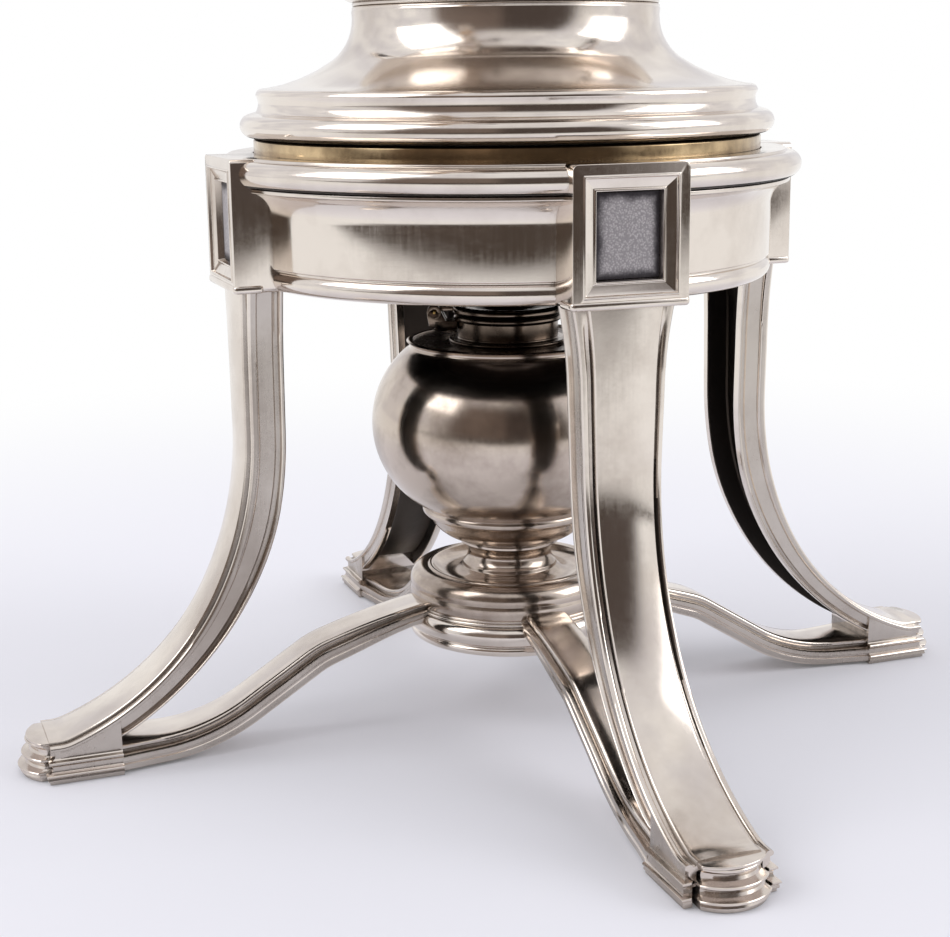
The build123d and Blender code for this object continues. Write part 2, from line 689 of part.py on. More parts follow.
def stretcher_top(set_back=0.0):
    """The stretcher's upper line, set back into it."""
    falls = [(STRETCHER_HEAD_R, STRETCHER_HEAD_TURN), (STRETCHER_KNEE_R, STRETCHER_KNEE_TURN)]
    bend_r = STRETCHER_FOOT_BEND_R
    return stretcher_way(STRETCHER_HEAD_Z, STRETCHER_TOP_Z, STRETCHER_RISE, falls, bend_r, -set_back)


def stretcher_under():
    """The stretcher's lower line."""
    falls = [(UNDER_HEAD_R, UNDER_HEAD_TURN), (UNDER_KNEE_R, UNDER_KNEE_TURN)]
    start_z = STRETCHER_HEAD_Z - STRETCHER_HEAD_T
    return stretcher_way(start_z, STRETCHER_UNDER_Z, UNDER_RISE, falls, UNDER_BEND_R)


def stretcher_plan(inset):
    """The stretcher's outline from above, narrowed by inset on each side, as a tall prism."""
    flare_x = FOOT_BACK_R - STRETCHER_FLARE_RUN
    middle_x = (flare_x + FOOT_BACK_R) / 2
    half_w = STRETCHER_HALF_W - inset
    end_half_w = STRETCHER_FOOT_HALF_W - inset
    middle_half_w = half_w + (end_half_w - half_w) / 4
    edges = [Line((0, -half_w), (0, half_w)), Line((FOOT_BACK_R, -end_half_w), (FOOT_BACK_R, end_half_w))]
    for hand in (-1, 1):
        flare = (flare_x, hand * half_w)
        edges.append(Line((0, hand * half_w), flare))
        end = (FOOT_BACK_R, hand * end_half_w)
        edges.append(ThreePointArc(flare, (middle_x, hand * middle_half_w), end))
    return extrude(make_face(edges), amount=FAR)


def stretcher():
    """An S-curved bar with a narrower top moulding over a groove, cut to the cradle ring."""
    top, under = stretcher_top(), stretcher_under()
    groove_base = STRETCHER_TOP_T + STRETCHER_GROOVE_T
    faces = [
        (between(top, under), STRETCHER_GROOVE_INSET),
        (between(top, stretcher_top(STRETCHER_TOP_T)), STRETCHER_TOP_INSET),
        (between(stretcher_top(groove_base), under), 0),
    ]
    layers = []
    for face, inset in faces:
        slab = extrude(Plane.XZ * face, amount=2 * STRETCHER_FOOT_HALF_W, both=True)
        layers.append(slab & stretcher_plan(inset))
    whole = layers[0] + layers[1] + layers[2]
    return whole - rod(CRADLE_R, 0, FAR) - cradle_outline(0).turned()


def cradle_outline(bore_r):
    """The cradle ring's outside, from its base up, as an outline that starts at a bore."""
    outline = Outline(bore_r, CRADLE_BASE_Z)
    outline.to(CRADLE_R - CRADLE_FOOT_BULGE, CRADLE_BASE_Z)
    outline.bow(CRADLE_R, CRADLE_BAND_Z, CRADLE_FOOT_BULGE)
    outline.bow(CRADLE_R, CRADLE_RIM_Z, CRADLE_BAND_BULGE)
    outline.bow(CRADLE_BORE_R, CRADLE_TOP_Z, CRADLE_RIM_BULGE)
    return outline.to(bore_r, CRADLE_TOP_Z)


def cradle_ring():
    """The moulded ring that the stretchers carry, with a flange for the lamp's foot."""
    outline = cradle_outline(CRADLE_BORE_R)
    outline.to(CRADLE_BORE_R, CRADLE_FLOOR_Z)
    outline.to(CRADLE_FLANGE_R, CRADLE_FLOOR_Z)
    outline.to(CRADLE_FLANGE_R, CRADLE_FLOOR_Z - CRADLE_FLOOR_T)
    outline.to(CRADLE_BORE_R - CRADLE_FLOOR_T, CRADLE_FLOOR_Z - CRADLE_FLOOR_T)
    outline.to(CRADLE_BORE_R - CRADLE_FLOOR_T, CRADLE_BASE_Z)
    return outline.turned()


# Spirit lamp

def lamp_foot():
    """The lamp's domed foot with a dished top and a spool neck, hollow below."""
    outline = Outline(LAMP_FOOT_HOLLOW_R, LAMP_BASE_Z)
    outline.to(LAMP_FOOT_R, LAMP_BASE_Z)
    outline.to(LAMP_FOOT_R, LAMP_RIM_Z)
    bulge = LAMP_FOOT_BULB_R - (LAMP_FOOT_R + LAMP_DISH_R) / 2
    outline.bow(LAMP_DISH_R, LAMP_DISH_Z, bulge)
    outline.bow(LAMP_NECK_FOOT_R, LAMP_NECK_Z, -LAMP_DISH_DEPTH)
    outline.bow(BOWL_TAIL_R, LAMP_JOINT_Z, LAMP_NECK_R - LAMP_NECK_FOOT_R)
    outline.to(0, LAMP_JOINT_Z)
    outline.to(0, LAMP_BASE_Z + LAMP_FOOT_HOLLOW_H)
    outline.to(LAMP_FOOT_HOLLOW_R / 2, LAMP_BASE_Z + LAMP_FOOT_HOLLOW_H)
    return outline.turned()


def lamp_bowl():
    """The round fuel bowl, open at the mouth, with a stepped moulding under it."""
    outline = Outline(0, LAMP_JOINT_Z)
    outline.to(BOWL_TAIL_R, LAMP_JOINT_Z)
    outline.bow(BOWL_LOW_R - BOWL_STEP_BULGE, BOWL_STEP_Z, BOWL_TAIL_BULGE)
    outline.bow(BOWL_LOW_R, BOWL_LOW_Z, BOWL_STEP_BULGE)
    mouth = (BOWL_MOUTH_R, BOWL_MOUTH_Z)
    outline.join([ThreePointArc(outline.last, (BOWL_R, BOWL_MID_Z), mouth)], mouth)
    outline.bow(BOWL_MOUTH_R + BOWL_LIP_OUT, BOWL_TOP_Z, -BOWL_LIP_OUT / 2)
    outline.to(BOWL_MOUTH_R - BOWL_WALL, BOWL_TOP_Z)
    outline.to(BOWL_MOUTH_R - BOWL_WALL, BOWL_MOUTH_Z)
    low = (BOWL_LOW_R - BOWL_WALL, BOWL_LOW_Z)
    outline.join([ThreePointArc(outline.last, (BOWL_R - BOWL_WALL, BOWL_MID_Z), low)], low)
    outline.to(BOWL_LOW_R / 2, BOWL_STEP_Z)
    outline.to(0, BOWL_STEP_Z)
    return outline.turned()


def lamp_deck():
    """The plate that closes the bowl, with a hole for the wick tube."""
    plate = rod(DECK_R, DECK_TOP_Z - DECK_T, DECK_TOP_Z)
    return plate - rod(WICK_TUBE_R + FIT, DECK_TOP_Z - DECK_T, DECK_TOP_Z)


def wick_collar():
    """The collar round the wick, on a thin base, with a rolled rim."""
    outline = Outline(COLLAR_BORE_R, DECK_TOP_Z)
    outline.to(COLLAR_BASE_R, DECK_TOP_Z)
    outline.to(COLLAR_BASE_R, DECK_TOP_Z + COLLAR_BASE_T)
    outline.to(COLLAR_R, DECK_TOP_Z + COLLAR_BASE_T)
    outline.to(COLLAR_R, COLLAR_TOP_Z - COLLAR_RIM_H)
    outline.bow(COLLAR_R, COLLAR_TOP_Z, COLLAR_RIM_R - COLLAR_R)
    outline.to(COLLAR_BORE_R, COLLAR_TOP_Z)
    return outline.turned()


def wick_tube():
    """The tube that holds the wick up through the deck, on a thin flange."""
    outline = Outline(WICK_TUBE_R - WICK_TUBE_WALL, WICK_TUBE_TOP_Z - WICK_TUBE_H)
    outline.to(WICK_TUBE_R, WICK_TUBE_TOP_Z - WICK_TUBE_H)
    outline.to(WICK_TUBE_R, DECK_TOP_Z)
    outline.to(COLLAR_BORE_R - FIT, DECK_TOP_Z)
    outline.to(COLLAR_BORE_R - FIT, DECK_TOP_Z + WICK_TUBE_WALL)
    outline.to(WICK_TUBE_R, DECK_TOP_Z + WICK_TUBE_WALL)
    outline.to(WICK_TUBE_R, WICK_TUBE_TOP_Z)
    outline.to(WICK_TUBE_R - WICK_TUBE_WALL, WICK_TUBE_TOP_Z)
    return outline.turned()


def wick():
    """The cotton wick, from the fuel up through its tube."""
    return rod(WICK_TUBE_R - WICK_TUBE_WALL - FIT, WICK_TOP_Z - WICK_H, WICK_TOP_Z)


def at_hinge(piece):
    """Turn a piece made with the hinge on +X to where the hinge is."""
    return Rot(0, 0, HINGE_ANGLE) * piece


def knuckle(radius, y_from, y_to):
    """A round bar on the hinge's axis."""
    return Pos(HINGE_OUT, 0, 0) * rod_along_y(radius, y_from, y_to, HINGE_Z)


def hinge_bracket():
    """A strap from the collar's side that forks into two ears for the hinge pin."""
    inner = HINGE_KNUCKLE_W / 2 + HINGE_SIDE_GAP
    outer = inner + HINGE_EAR_W
    base_z = HINGE_Z - HINGE_KNUCKLE_R - BRACKET_DEPTH
    piece = block(COLLAR_R, HINGE_OUT, -outer, outer, base_z, HINGE_Z - HINGE_KNUCKLE_R - HINGE_SIDE_GAP)
    for y_from, y_to in ((-outer, -inner), (inner, outer)):
        piece += block(COLLAR_R, HINGE_OUT, y_from, y_to, base_z, HINGE_Z - COLLAR_RIM_H - SEAT_GAP)
        ear_from, ear_to = HINGE_OUT - HINGE_KNUCKLE_R, HINGE_OUT + HINGE_KNUCKLE_R
        piece += block(ear_from, ear_to, y_from, y_to, base_z, HINGE_Z)
        piece += knuckle(HINGE_KNUCKLE_R, y_from, y_to)
    piece -= knuckle(HINGE_PIN_R, -outer - PAST, outer + PAST)
    piece -= rod(COLLAR_RIM_R + FIT, COLLAR_TOP_Z - COLLAR_RIM_H, FAR)
    return at_hinge(piece - rod(COLLAR_R, 0, FAR))


def hinge_pin():
    """The pin that the cover swings on, fixed in the bracket's ears."""
    half = HINGE_KNUCKLE_W / 2 + HINGE_SIDE_GAP + HINGE_EAR_W
    return at_hinge(knuckle(HINGE_PIN_R, -half, half))


def snuffing_cover():
    """A flat cap over the collar with a raised rim, a strap and the hinge's middle knuckle."""
    disc = rod(COVER_R, COVER_BASE_Z, COVER_BASE_Z + COVER_T)
    disc += rod(COVER_R - COVER_T, COVER_BASE_Z + COVER_T, COVER_BASE_Z + COVER_T + COVER_RIM_H)
    half = HINGE_KNUCKLE_W / 2
    strap = block(COVER_R - HINGE_STRAP_W, HINGE_OUT, -half, half, COVER_BASE_Z, COVER_BASE_Z + COVER_T)
    cover = disc + strap + knuckle(HINGE_KNUCKLE_R, -half, half)
    return at_hinge(cover - knuckle(HINGE_PIN_R + TURNING_GAP, -half - PAST, half + PAST))


# Urn

def urn_pedestal():
    """The urn's foot: bead, hollow band and a broad cove up to the neck, open below for heat."""
    outline = Outline(PEDESTAL_R - PEDESTAL_RIM_T, PEDESTAL_BASE_Z)
    outline.to(PEDESTAL_R, PEDESTAL_BASE_Z)
    outline.bow(PEDESTAL_R, PEDESTAL_BEAD_Z, PEDESTAL_BEAD_BULGE)
    outline.to(PEDESTAL_BAND_R, PEDESTAL_BEAD_Z)
    outline.bow(PEDESTAL_BAND_R, PEDESTAL_BAND_Z, -PEDESTAL_BAND_HOLLOW)
    outline.bow(PEDESTAL_TOP_R, PEDESTAL_EDGE_Z, PEDESTAL_EDGE_H / 4)
    middle_z = PEDESTAL_EDGE_Z + PEDESTAL_COVE_MID_H
    outline.bow(PEDESTAL_COVE_MID_R, middle_z, -PEDESTAL_COVE_LOW_SAG)
    outline.bow(PEDESTAL_NECK_R, KNOP_BASE_Z, -PEDESTAL_COVE_HIGH_SAG)
    outline.to(PEDESTAL_NECK_R - PEDESTAL_WALL, KNOP_BASE_Z)
    outline.bow(PEDESTAL_COVE_MID_R - PEDESTAL_WALL, middle_z - PEDESTAL_WALL, PEDESTAL_COVE_HIGH_SAG)
    inner_edge = (PEDESTAL_TOP_R - PEDESTAL_WALL, PEDESTAL_EDGE_Z - PEDESTAL_WALL)
    outline.bow(*inner_edge, PEDESTAL_COVE_LOW_SAG)
    outline.to(PEDESTAL_R - PEDESTAL_RIM_T, PEDESTAL_BEAD_Z)
    return outline.turned()


def neck_knop():
    """The rounded knop between the pedestal and the vessel."""
    outline = Outline(KNOP_BORE_R, KNOP_BASE_Z)
    outline.to(PEDESTAL_NECK_R, KNOP_BASE_Z)
    outline.bow(PEDESTAL_NECK_R, BODY_BASE_Z, KNOP_BULGE)
    outline.to(KNOP_BORE_R, BODY_BASE_Z)
    return outline.turned()


def body_low(side, lift):
    """The vessel's line from its belly down to its collar, stopped short by lift."""
    steps = [(BODY_BELLY_R, -BODY_BELLY_TURN), (BODY_TUCK_R, BODY_BELLY_TURN), (BODY_COLLAR_H - lift,)]
    return run_on((BODY_R, BODY_MAX_Z), -90, steps, side)


def body_high(side):
    """The vessel's line from its belly up over the shoulder to the mouth."""
    steps = [(GIRDLE_H,), (SHOULDER_R, SHOULDER_TURN), (THROAT_R, -SHOULDER_TURN), (THROAT_H,)]
    return run_on((BODY_R, BODY_MAX_Z), 90, steps, side)


def filled(low, high):
    """The solid inside two ways that leave one point, one down and one up, and end level."""
    low_edges, low_end = low
    high_edges, high_end = high
    low_middle, high_middle = (0, low_end[1]), (0, high_end[1])
    ends = [Line(low_end, low_middle), Line(low_middle, high_middle), Line(high_middle, high_end)]
    return revolve(Plane.XZ * make_face([*low_edges, *high_edges, *ends]), axis=Axis.Z, revolution_arc=360)


def body_solid():
    """The vessel's outer shape, filled."""
    return filled(body_low(0, 0), body_high(0))


def body_hollow():
    """The vessel's inside, filled and run up past the mouth."""
    edges, end = body_high(WALL)
    over = (end[0], end[1] + PAST)
    return filled(body_low(-WALL, WALL), ([*edges, Line(end, over)], over))


def vessel_course(low_z, high_z):
    """One of the courses that the vessel is soldered up from: its shell between two heights."""
    return (body_solid() - body_hollow()) & rod(2 * BODY_R, low_z, high_z)


def vessel():
    """The vessel's belly, pierced for the tap."""
    belly = vessel_course(BODY_LOW_SEAM_Z, BODY_HIGH_SEAM_Z)
    return belly - rod_along_y(TAP_TUBE_R, -BODY_R, -TAP_INNER_Y, TAP_Z)


def girdle():
    """The moulding round the vessel's widest part."""
    outline = Outline(BODY_R, BODY_MAX_Z)
    outline.to(BODY_R + GIRDLE_T, BODY_MAX_Z)
    outline.bow(BODY_R + GIRDLE_T, GIRDLE_TOP_Z, GIRDLE_BULGE)
    outline.to(BODY_R, GIRDLE_TOP_Z)
    return outline.turned()


def mouth_rim():
    """The rounded moulding round the vessel's mouth."""
    outline = Outline(MOUTH_R, MOUTH_Z - RIM_H)
    outline.bow(MOUTH_R, MOUTH_Z, RIM_OUT)
    return outline.turned()


def lid():
    """The domed lid with a stepped edge and a flat crown for the finial."""
    outline = Outline(BEZEL_R - BEZEL_T, LID_BASE_Z)
    outline.to(LID_R, LID_BASE_Z)
    outline.bow(LID_R, DOME_BASE_Z, LID_EDGE_H / 4)
    outline.to(DOME_BASE_R, DOME_BASE_Z)
    outline.bow(LID_CROWN_R, DOME_TOP_Z, LID_DOME_BULGE)
    outline.to(LID_CROWN_R, CROWN_TOP_Z)
    outline.to(FINIAL_ROD_R + FIT, CROWN_TOP_Z)
    outline.to(FINIAL_ROD_R + FIT, DOME_TOP_Z - WALL)
    outline.to(LID_CROWN_R, DOME_TOP_Z - WALL)
    outline.bow(DOME_BASE_R - WALL, DOME_BASE_Z - WALL / 2, -LID_DOME_BULGE)
    outline.to(BEZEL_R - BEZEL_T, DOME_BASE_Z - WALL / 2)
    return outline.turned()


def lid_bezel():
    """The ring under the lid that centres it in the mouth."""
    outline = Outline(BEZEL_R - BEZEL_T, LID_BASE_Z - BEZEL_H)
    outline.to(BEZEL_R, LID_BASE_Z - BEZEL_H)
    outline.to(BEZEL_R, LID_BASE_Z)
    outline.to(BEZEL_R - BEZEL_T, LID_BASE_Z)
    return outline.turned()


def finial_base():
    """The waisted silver base under the finial's insulating disc."""
    outline = Outline(FINIAL_ROD_R + FIT, CROWN_TOP_Z)
    outline.to(FINIAL_BASE_R, CROWN_TOP_Z)
    outline.bow(FINIAL_BASE_R, FINIAL_BASE_TOP_Z, FINIAL_WAIST_R - FINIAL_BASE_R)
    outline.to(FINIAL_ROD_R + FIT, FINIAL_BASE_TOP_Z)
    return outline.turned()


def insulator():
    """The ebonised wooden disc that keeps the finial cool."""
    outline = Outline(FINIAL_ROD_R + FIT, FINIAL_BASE_TOP_Z)
    outline.to(INSULATOR_R, FINIAL_BASE_TOP_Z)
    outline.bow(INSULATOR_R, INSULATOR_TOP_Z, INSULATOR_T / 3)
    outline.to(FINIAL_ROD_R + FIT, INSULATOR_TOP_Z)
    return outline.turned()


def finial():
    """The urn-shaped finial with the rod that holds it through the lid."""
    outline = Outline(0, DOME_TOP_Z - WALL - FINIAL_NUT_T)
    outline.to(FINIAL_ROD_R, DOME_TOP_Z - WALL - FINIAL_NUT_T)
    outline.to(FINIAL_ROD_R, INSULATOR_TOP_Z)
    outline.to(INSULATOR_R - INSULATOR_T / 2, INSULATOR_TOP_Z)
    outline.bow(FINIAL_STEM_R, FINIAL_STEM_Z, -FINIAL_STEM_H / 4)
    outline.bow(FINIAL_BULB_R / 2, FINIAL_BULB_Z, FINIAL_BULB_R - FINIAL_STEM_R)
    outline.bow(FINIAL_TIP_R, FINIAL_BULB_Z + FINIAL_TIP_H / 2, -FINIAL_TIP_R / 2)
    outline.bow(FINIAL_TIP_FLAT_R, FINIAL_TOP_Z, FINIAL_TIP_R / 4)
    outline.to(0, FINIAL_TOP_Z)
    return outline.turned()


def finial_nut():
    """The nut that holds the finial from inside the lid."""
    nut = rod(FINIAL_NUT_R, DOME_TOP_Z - WALL - FINIAL_NUT_T, DOME_TOP_Z - WALL)
    return nut - rod(FINIAL_ROD_R + FIT, 0, FAR)


def handle_arm(root_z, end_z):
    """A round arm that leaves the vessel level, bends and ends in a ferrule at the grip."""
    hand = 1 if end_z > root_z else -1
    bend_z = root_z + hand * HANDLE_BEND_R
    level = (HANDLE_R - HANDLE_BEND_R,)
    way, end = run_on((0, root_z), 0, [level, (HANDLE_BEND_R, hand * 90)])
    path = Plane.XZ * Wire(way)
    arm = sweep(Plane.YZ * Pos(0, root_z) * Circle(HANDLE_TUBE_R), path=path)
    low, high = sorted((bend_z, end_z))
    arm += rod(HANDLE_FERRULE_R, low, high, x=HANDLE_R)
    half_w = HANDLE_PLATE_HALF_W
    plate_x = body_reach(root_z + half_w) + HANDLE_PLATE_OUT
    arm += block(0, plate_x, -half_w, half_w, root_z - half_w, root_z + half_w)
    return arm - body_solid()


def body_reach(z):
    """The vessel's outer radius at a height, or at its widest above that."""
    if z >= BODY_MAX_Z:
        return BODY_R
    if z >= BODY_TUCK_Z:
        return BODY_R - BODY_BELLY_R + sqrt(BODY_BELLY_R**2 - (BODY_MAX_Z - z) ** 2)
    if z >= BODY_COLLAR_Z:
        return BODY_COLLAR_R + BODY_TUCK_R - sqrt(BODY_TUCK_R**2 - (z - BODY_COLLAR_Z) ** 2)
    return BODY_COLLAR_R


def handle_grip():
    """The turned wooden grip, swelling in its middle."""
    outline = Outline(0, GRIP_BASE_Z)
    outline.to(GRIP_END_R, GRIP_BASE_Z)
    outline.bow(GRIP_END_R, GRIP_TOP_Z, GRIP_BULGE)
    outline.to(0, GRIP_TOP_Z)
    return Pos(HANDLE_R, 0, 0) * outline.turned()


# Tap, set out from the vessel's wall at its height. The spout's lip stays just behind the line of
# the feet's outer corners, so the plan stays square.
TAP_Z = BODY_BASE_Z + TAP_RISE
TAP_WALL_Y = body_reach(TAP_Z)
ROSETTE_FACE_Y = TAP_WALL_Y + ROSETTE_OUT
TAP_INNER_Y = TAP_WALL_Y - TAP_INNER_RUN
PLUG_Y = TAP_WALL_Y + TAP_REACH
SPOUT_Y = PLUG_Y + PLUG_TO_SPOUT
BARREL_TOP_Z = TAP_Z + TAP_BARREL_H / 2
BARREL_BASE_Z = TAP_Z - TAP_BARREL_H / 2
PLUG_TOP_Z = BARREL_TOP_Z + PLUG_STAND_UP
PLUG_BASE_Z = BARREL_BASE_Z


def tap_rosette():
    """The boss on the vessel's wall that the tap screws into, with a raised ring at its face."""
    boss = rod_along_y(ROSETTE_R, -ROSETTE_FACE_Y, ROSETTE_ROOT - ROSETTE_FACE_Y, TAP_Z)
    boss += rod_along_y(ROSETTE_RING_R, -ROSETTE_FACE_Y, ROSETTE_RING_T - ROSETTE_FACE_Y, TAP_Z)
    return boss - body_solid() - rod_along_y(TAP_TUBE_R, -FAR, 0, TAP_Z)


def plug_cone(gap):
    """The taper that the plug turns in, widened by a gap."""
    height = PLUG_TOP_Z - PLUG_BASE_Z
    low_r, top_r = PLUG_TOP_R - PLUG_TAPER + gap, PLUG_TOP_R + gap
    return Pos(0, -PLUG_Y, PLUG_BASE_Z) * Cone(low_r, top_r, height, align=ON_BASE)


def tap_body():
    """The tap: a tube through the wall, an upright barrel for the plug and a spout turned down."""
    tap = rod_along_y(TAP_TUBE_R, -PLUG_Y, -TAP_INNER_Y, TAP_Z)
    tap += rod(TAP_BARREL_R, BARREL_BASE_Z, BARREL_TOP_Z, y=-PLUG_Y)
    band_r = TAP_BARREL_R + TAP_BARREL_BAND_OUT
    for z in (BARREL_BASE_Z, BARREL_TOP_Z - TAP_BARREL_BAND_H):
        tap += rod(band_r, z, z + TAP_BARREL_BAND_H, y=-PLUG_Y)
    tap += rod_along_y(SPOUT_R, -SPOUT_Y, -PLUG_Y, TAP_Z)
    tap += Pos(0, -SPOUT_Y, TAP_Z) * Sphere(SPOUT_R)
    lip_z = TAP_Z - SPOUT_DROP
    tap += rod(SPOUT_R, lip_z, TAP_Z, y=-SPOUT_Y)
    tap += rod(SPOUT_LIP_R, lip_z, lip_z + SPOUT_LIP_H, y=-SPOUT_Y)
    tap -= rod_along_y(TAP_BORE_R, -SPOUT_Y, 0, TAP_Z)
    tap -= rod(TAP_BORE_R, lip_z - PAST, TAP_Z, y=-SPOUT_Y)
    tap -= Pos(0, -SPOUT_Y, TAP_Z) * Sphere(TAP_BORE_R)
    return tap - plug_cone(TURNING_GAP)


def tap_back_nut():
    """The nut that holds the tap from inside the vessel, cut to the wall."""
    nut = rod_along_y(BACK_NUT_R, -TAP_INNER_Y - BACK_NUT_T, -TAP_INNER_Y, TAP_Z)
    return (nut - rod_along_y(TAP_TUBE_R, -FAR, 0, TAP_Z)) & body_hollow()


def tap_plug():
    """The tapered plug with its cross hole, a stem for the lever and a tail for the nut."""
    plug = plug_cone(0)
    plug += rod(PLUG_STEM_R, PLUG_TOP_Z, PLUG_TOP_Z + PLUG_STEM_H, y=-PLUG_Y)
    plug += rod(PLUG_TAIL_R, PLUG_BASE_Z - PLUG_TAIL_H, PLUG_BASE_Z, y=-PLUG_Y)
    return plug - rod_along_x(TAP_BORE_R, -FAR, FAR, -PLUG_Y, TAP_Z)


def plug_washer():
    """The washer that draws the plug up into its taper."""
    washer = rod(PLUG_WASHER_R, PLUG_BASE_Z - SEAT_GAP - PLUG_WASHER_T, PLUG_BASE_Z - SEAT_GAP, y=-PLUG_Y)
    return washer - rod(PLUG_TAIL_R + FIT, 0, FAR, y=-PLUG_Y)


def plug_nut():
    """The nut under the washer."""
    top_z = PLUG_BASE_Z - SEAT_GAP - PLUG_WASHER_T
    nut = rod(PLUG_NUT_R, top_z - PLUG_NUT_T, top_z, y=-PLUG_Y)
    return nut - rod(PLUG_TAIL_R + FIT, 0, FAR, y=-PLUG_Y)


def lever_hub():
    """The hub on the plug's stem and its arm, which points to the side while the tap is shut."""
    hub = rod(LEVER_HUB_R, PLUG_TOP_Z, PLUG_TOP_Z + LEVER_HUB_H, y=-PLUG_Y)
    arm_z = PLUG_TOP_Z + LEVER_HUB_H / 2
    hub += rod_along_x(LEVER_R, 0, LEVER_LENGTH, -PLUG_Y, arm_z)
    return hub - rod(PLUG_STEM_R + FIT, 0, FAR, y=-PLUG_Y)


def lever_knob():
    """The turned wooden knob on the lever's end."""
    outline = Outline(0, 0)
    outline.to(LEVER_R, 0)
    outline.bow(LEVER_R, LEVER_KNOB_LENGTH, LEVER_KNOB_R - LEVER_R)
    outline.to(0, LEVER_KNOB_LENGTH)
    arm_z = PLUG_TOP_Z + LEVER_HUB_H / 2
    return Pos(LEVER_LENGTH, -PLUG_Y, arm_z) * Rot(0, 90, 0) * outline.turned()


def pieces():
    """Every piece of the samovar by name."""
    named = {"stand_ring": stand_ring(), "seat_plate": seat_plate(), "cradle_ring": cradle_ring()}
    at_corners = {
        "corner_block": corner_block(),
        "medallion_panel": medallion_panel(),
        "leg": leg(),
        "foot": foot(),
        "stretcher": stretcher(),
    }
    for name, piece in at_corners.items():
        for corner, angle in CORNERS.items():
            named[f"{name}_{corner}"] = Rot(0, 0, angle) * piece
    named["lamp_foot"] = lamp_foot()
    named["lamp_bowl"] = lamp_bowl()
    named["lamp_deck"] = lamp_deck()
    named["wick_collar"] = wick_collar()
    named["wick_tube"] = wick_tube()
    named["wick"] = wick()
    named["hinge_bracket"] = hinge_bracket()
    named["hinge_pin"] = hinge_pin()
    named["snuffing_cover"] = snuffing_cover()
    named["urn_pedestal"] = urn_pedestal()
    named["neck_knop"] = neck_knop()
    floor_z = BODY_BASE_Z + WALL
    named["vessel_floor"] = vessel_course(BODY_BASE_Z, floor_z)
    named["vessel_tuck"] = vessel_course(floor_z, BODY_LOW_SEAM_Z)
    named["vessel"] = vessel()
    named["vessel_shoulder"] = vessel_course(BODY_HIGH_SEAM_Z, MOUTH_Z)
    named["girdle"] = girdle()
    named["mouth_rim"] = mouth_rim()
    at_sides = {
        "handle_arm_upper": handle_arm(HANDLE_TOP_Z, GRIP_TOP_Z),
        "handle_arm_lower": handle_arm(HANDLE_LOW_Z, GRIP_BASE_Z),
        "handle_grip": handle_grip(),
    }
    for name, piece in at_sides.items():
        for side, angle in SIDES.items():
            named[f"{name}_{side}"] = Rot(0, 0, angle) * piece
    named["tap_rosette"] = tap_rosette()
    named["tap_body"] = tap_body()
    named["tap_back_nut"] = tap_back_nut()
    named["tap_plug"] = tap_plug()
    named["plug_washer"] = plug_washer()
    named["plug_nut"] = plug_nut()
    named["lever_hub"] = lever_hub()
    named["lever_knob"] = lever_knob()
    named["lid"] = lid()
    named["lid_bezel"] = lid_bezel()
    named["finial_base"] = finial_base()
    named["finial_insulator"] = insulator()
    named["finial"] = finial()
    named["finial_nut"] = finial_nut()
    return named


os.makedirs("parts", exist_ok=True)
for node, piece in pieces().items():
    export_step(piece, f"parts/{node}.step")
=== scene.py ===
"""Looks of a spirit-heated samovar: an urn with a tap, on a four-legged stand with a spirit lamp."""
import logging
from collections.abc import Callable, Sequence
from dataclasses import dataclass
from enum import Enum
from math import asin, atan2, ceil, cos, degrees, pi, radians, sin, sqrt, tan
from typing import Any

import bmesh
import bpy
from mathutils import Matrix, Vector


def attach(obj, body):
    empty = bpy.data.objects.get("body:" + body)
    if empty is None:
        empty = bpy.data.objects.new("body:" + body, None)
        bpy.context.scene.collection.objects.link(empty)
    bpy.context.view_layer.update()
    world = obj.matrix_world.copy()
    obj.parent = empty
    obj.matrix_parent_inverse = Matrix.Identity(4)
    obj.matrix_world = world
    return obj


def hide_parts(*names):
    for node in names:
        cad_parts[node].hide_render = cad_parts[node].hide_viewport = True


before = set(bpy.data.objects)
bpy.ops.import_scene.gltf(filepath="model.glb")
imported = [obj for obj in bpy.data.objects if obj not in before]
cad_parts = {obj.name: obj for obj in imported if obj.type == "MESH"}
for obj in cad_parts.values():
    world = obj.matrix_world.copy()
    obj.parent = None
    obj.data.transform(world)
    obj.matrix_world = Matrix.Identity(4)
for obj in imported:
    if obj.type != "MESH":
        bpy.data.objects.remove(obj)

LOG = logging.getLogger("samovar")
MM = 0.001
MERGE = 2e-6
ROUND_STEPS = 160
ARC_STEP = 8.0
CORNER_TURN = 24.0
ROUNDING_STEPS = 4
ROUNDING_SHARE = 0.42
SOOT_SHADE_AND_DULL = "soot"
# Lengths that the soot and the painted shade go by, in millimetres
FLAME_TOP_Z = 165.0
BLOCK_BACK_R = 75.0
CHANNEL_HALF_W = 9.6
WEB_FROM = 5.0

Point = tuple[float, float]
Piece = bpy.types.Object
Place = tuple[float, float, float]
Tree = bpy.types.NodeTree


class Body(Enum):
    """The rigid bodies that pieces ride on."""

    STAND = "stand"
    BURNER = "burner"
    SNUFFER = "snuffer"
    URN = "urn"
    PLUG = "plug"
    LID = "lid"


class Slot(Enum):
    """The record's material slots."""

    SILVER = "silver"
    MATTED = "matted_silver"
    WOOD = "ebonised_wood"
    COTTON = "cotton"
    BRASS = "brass"


class Corner(Enum):
    """The four legs, each with its direction in degrees from +X."""

    FRONT_RIGHT = -45
    FRONT_LEFT = -135
    BACK_LEFT = 135
    BACK_RIGHT = 45

    @property
    def word(self) -> str:
        """The corner's name as the pieces carry it."""
        return self.name.lower()


class Side(Enum):
    """The two handles, each with its direction in degrees from +X."""

    RIGHT = 0
    LEFT = 180

    @property
    def word(self) -> str:
        """The side's name as the pieces carry it."""
        return self.name.lower()


# Outlines

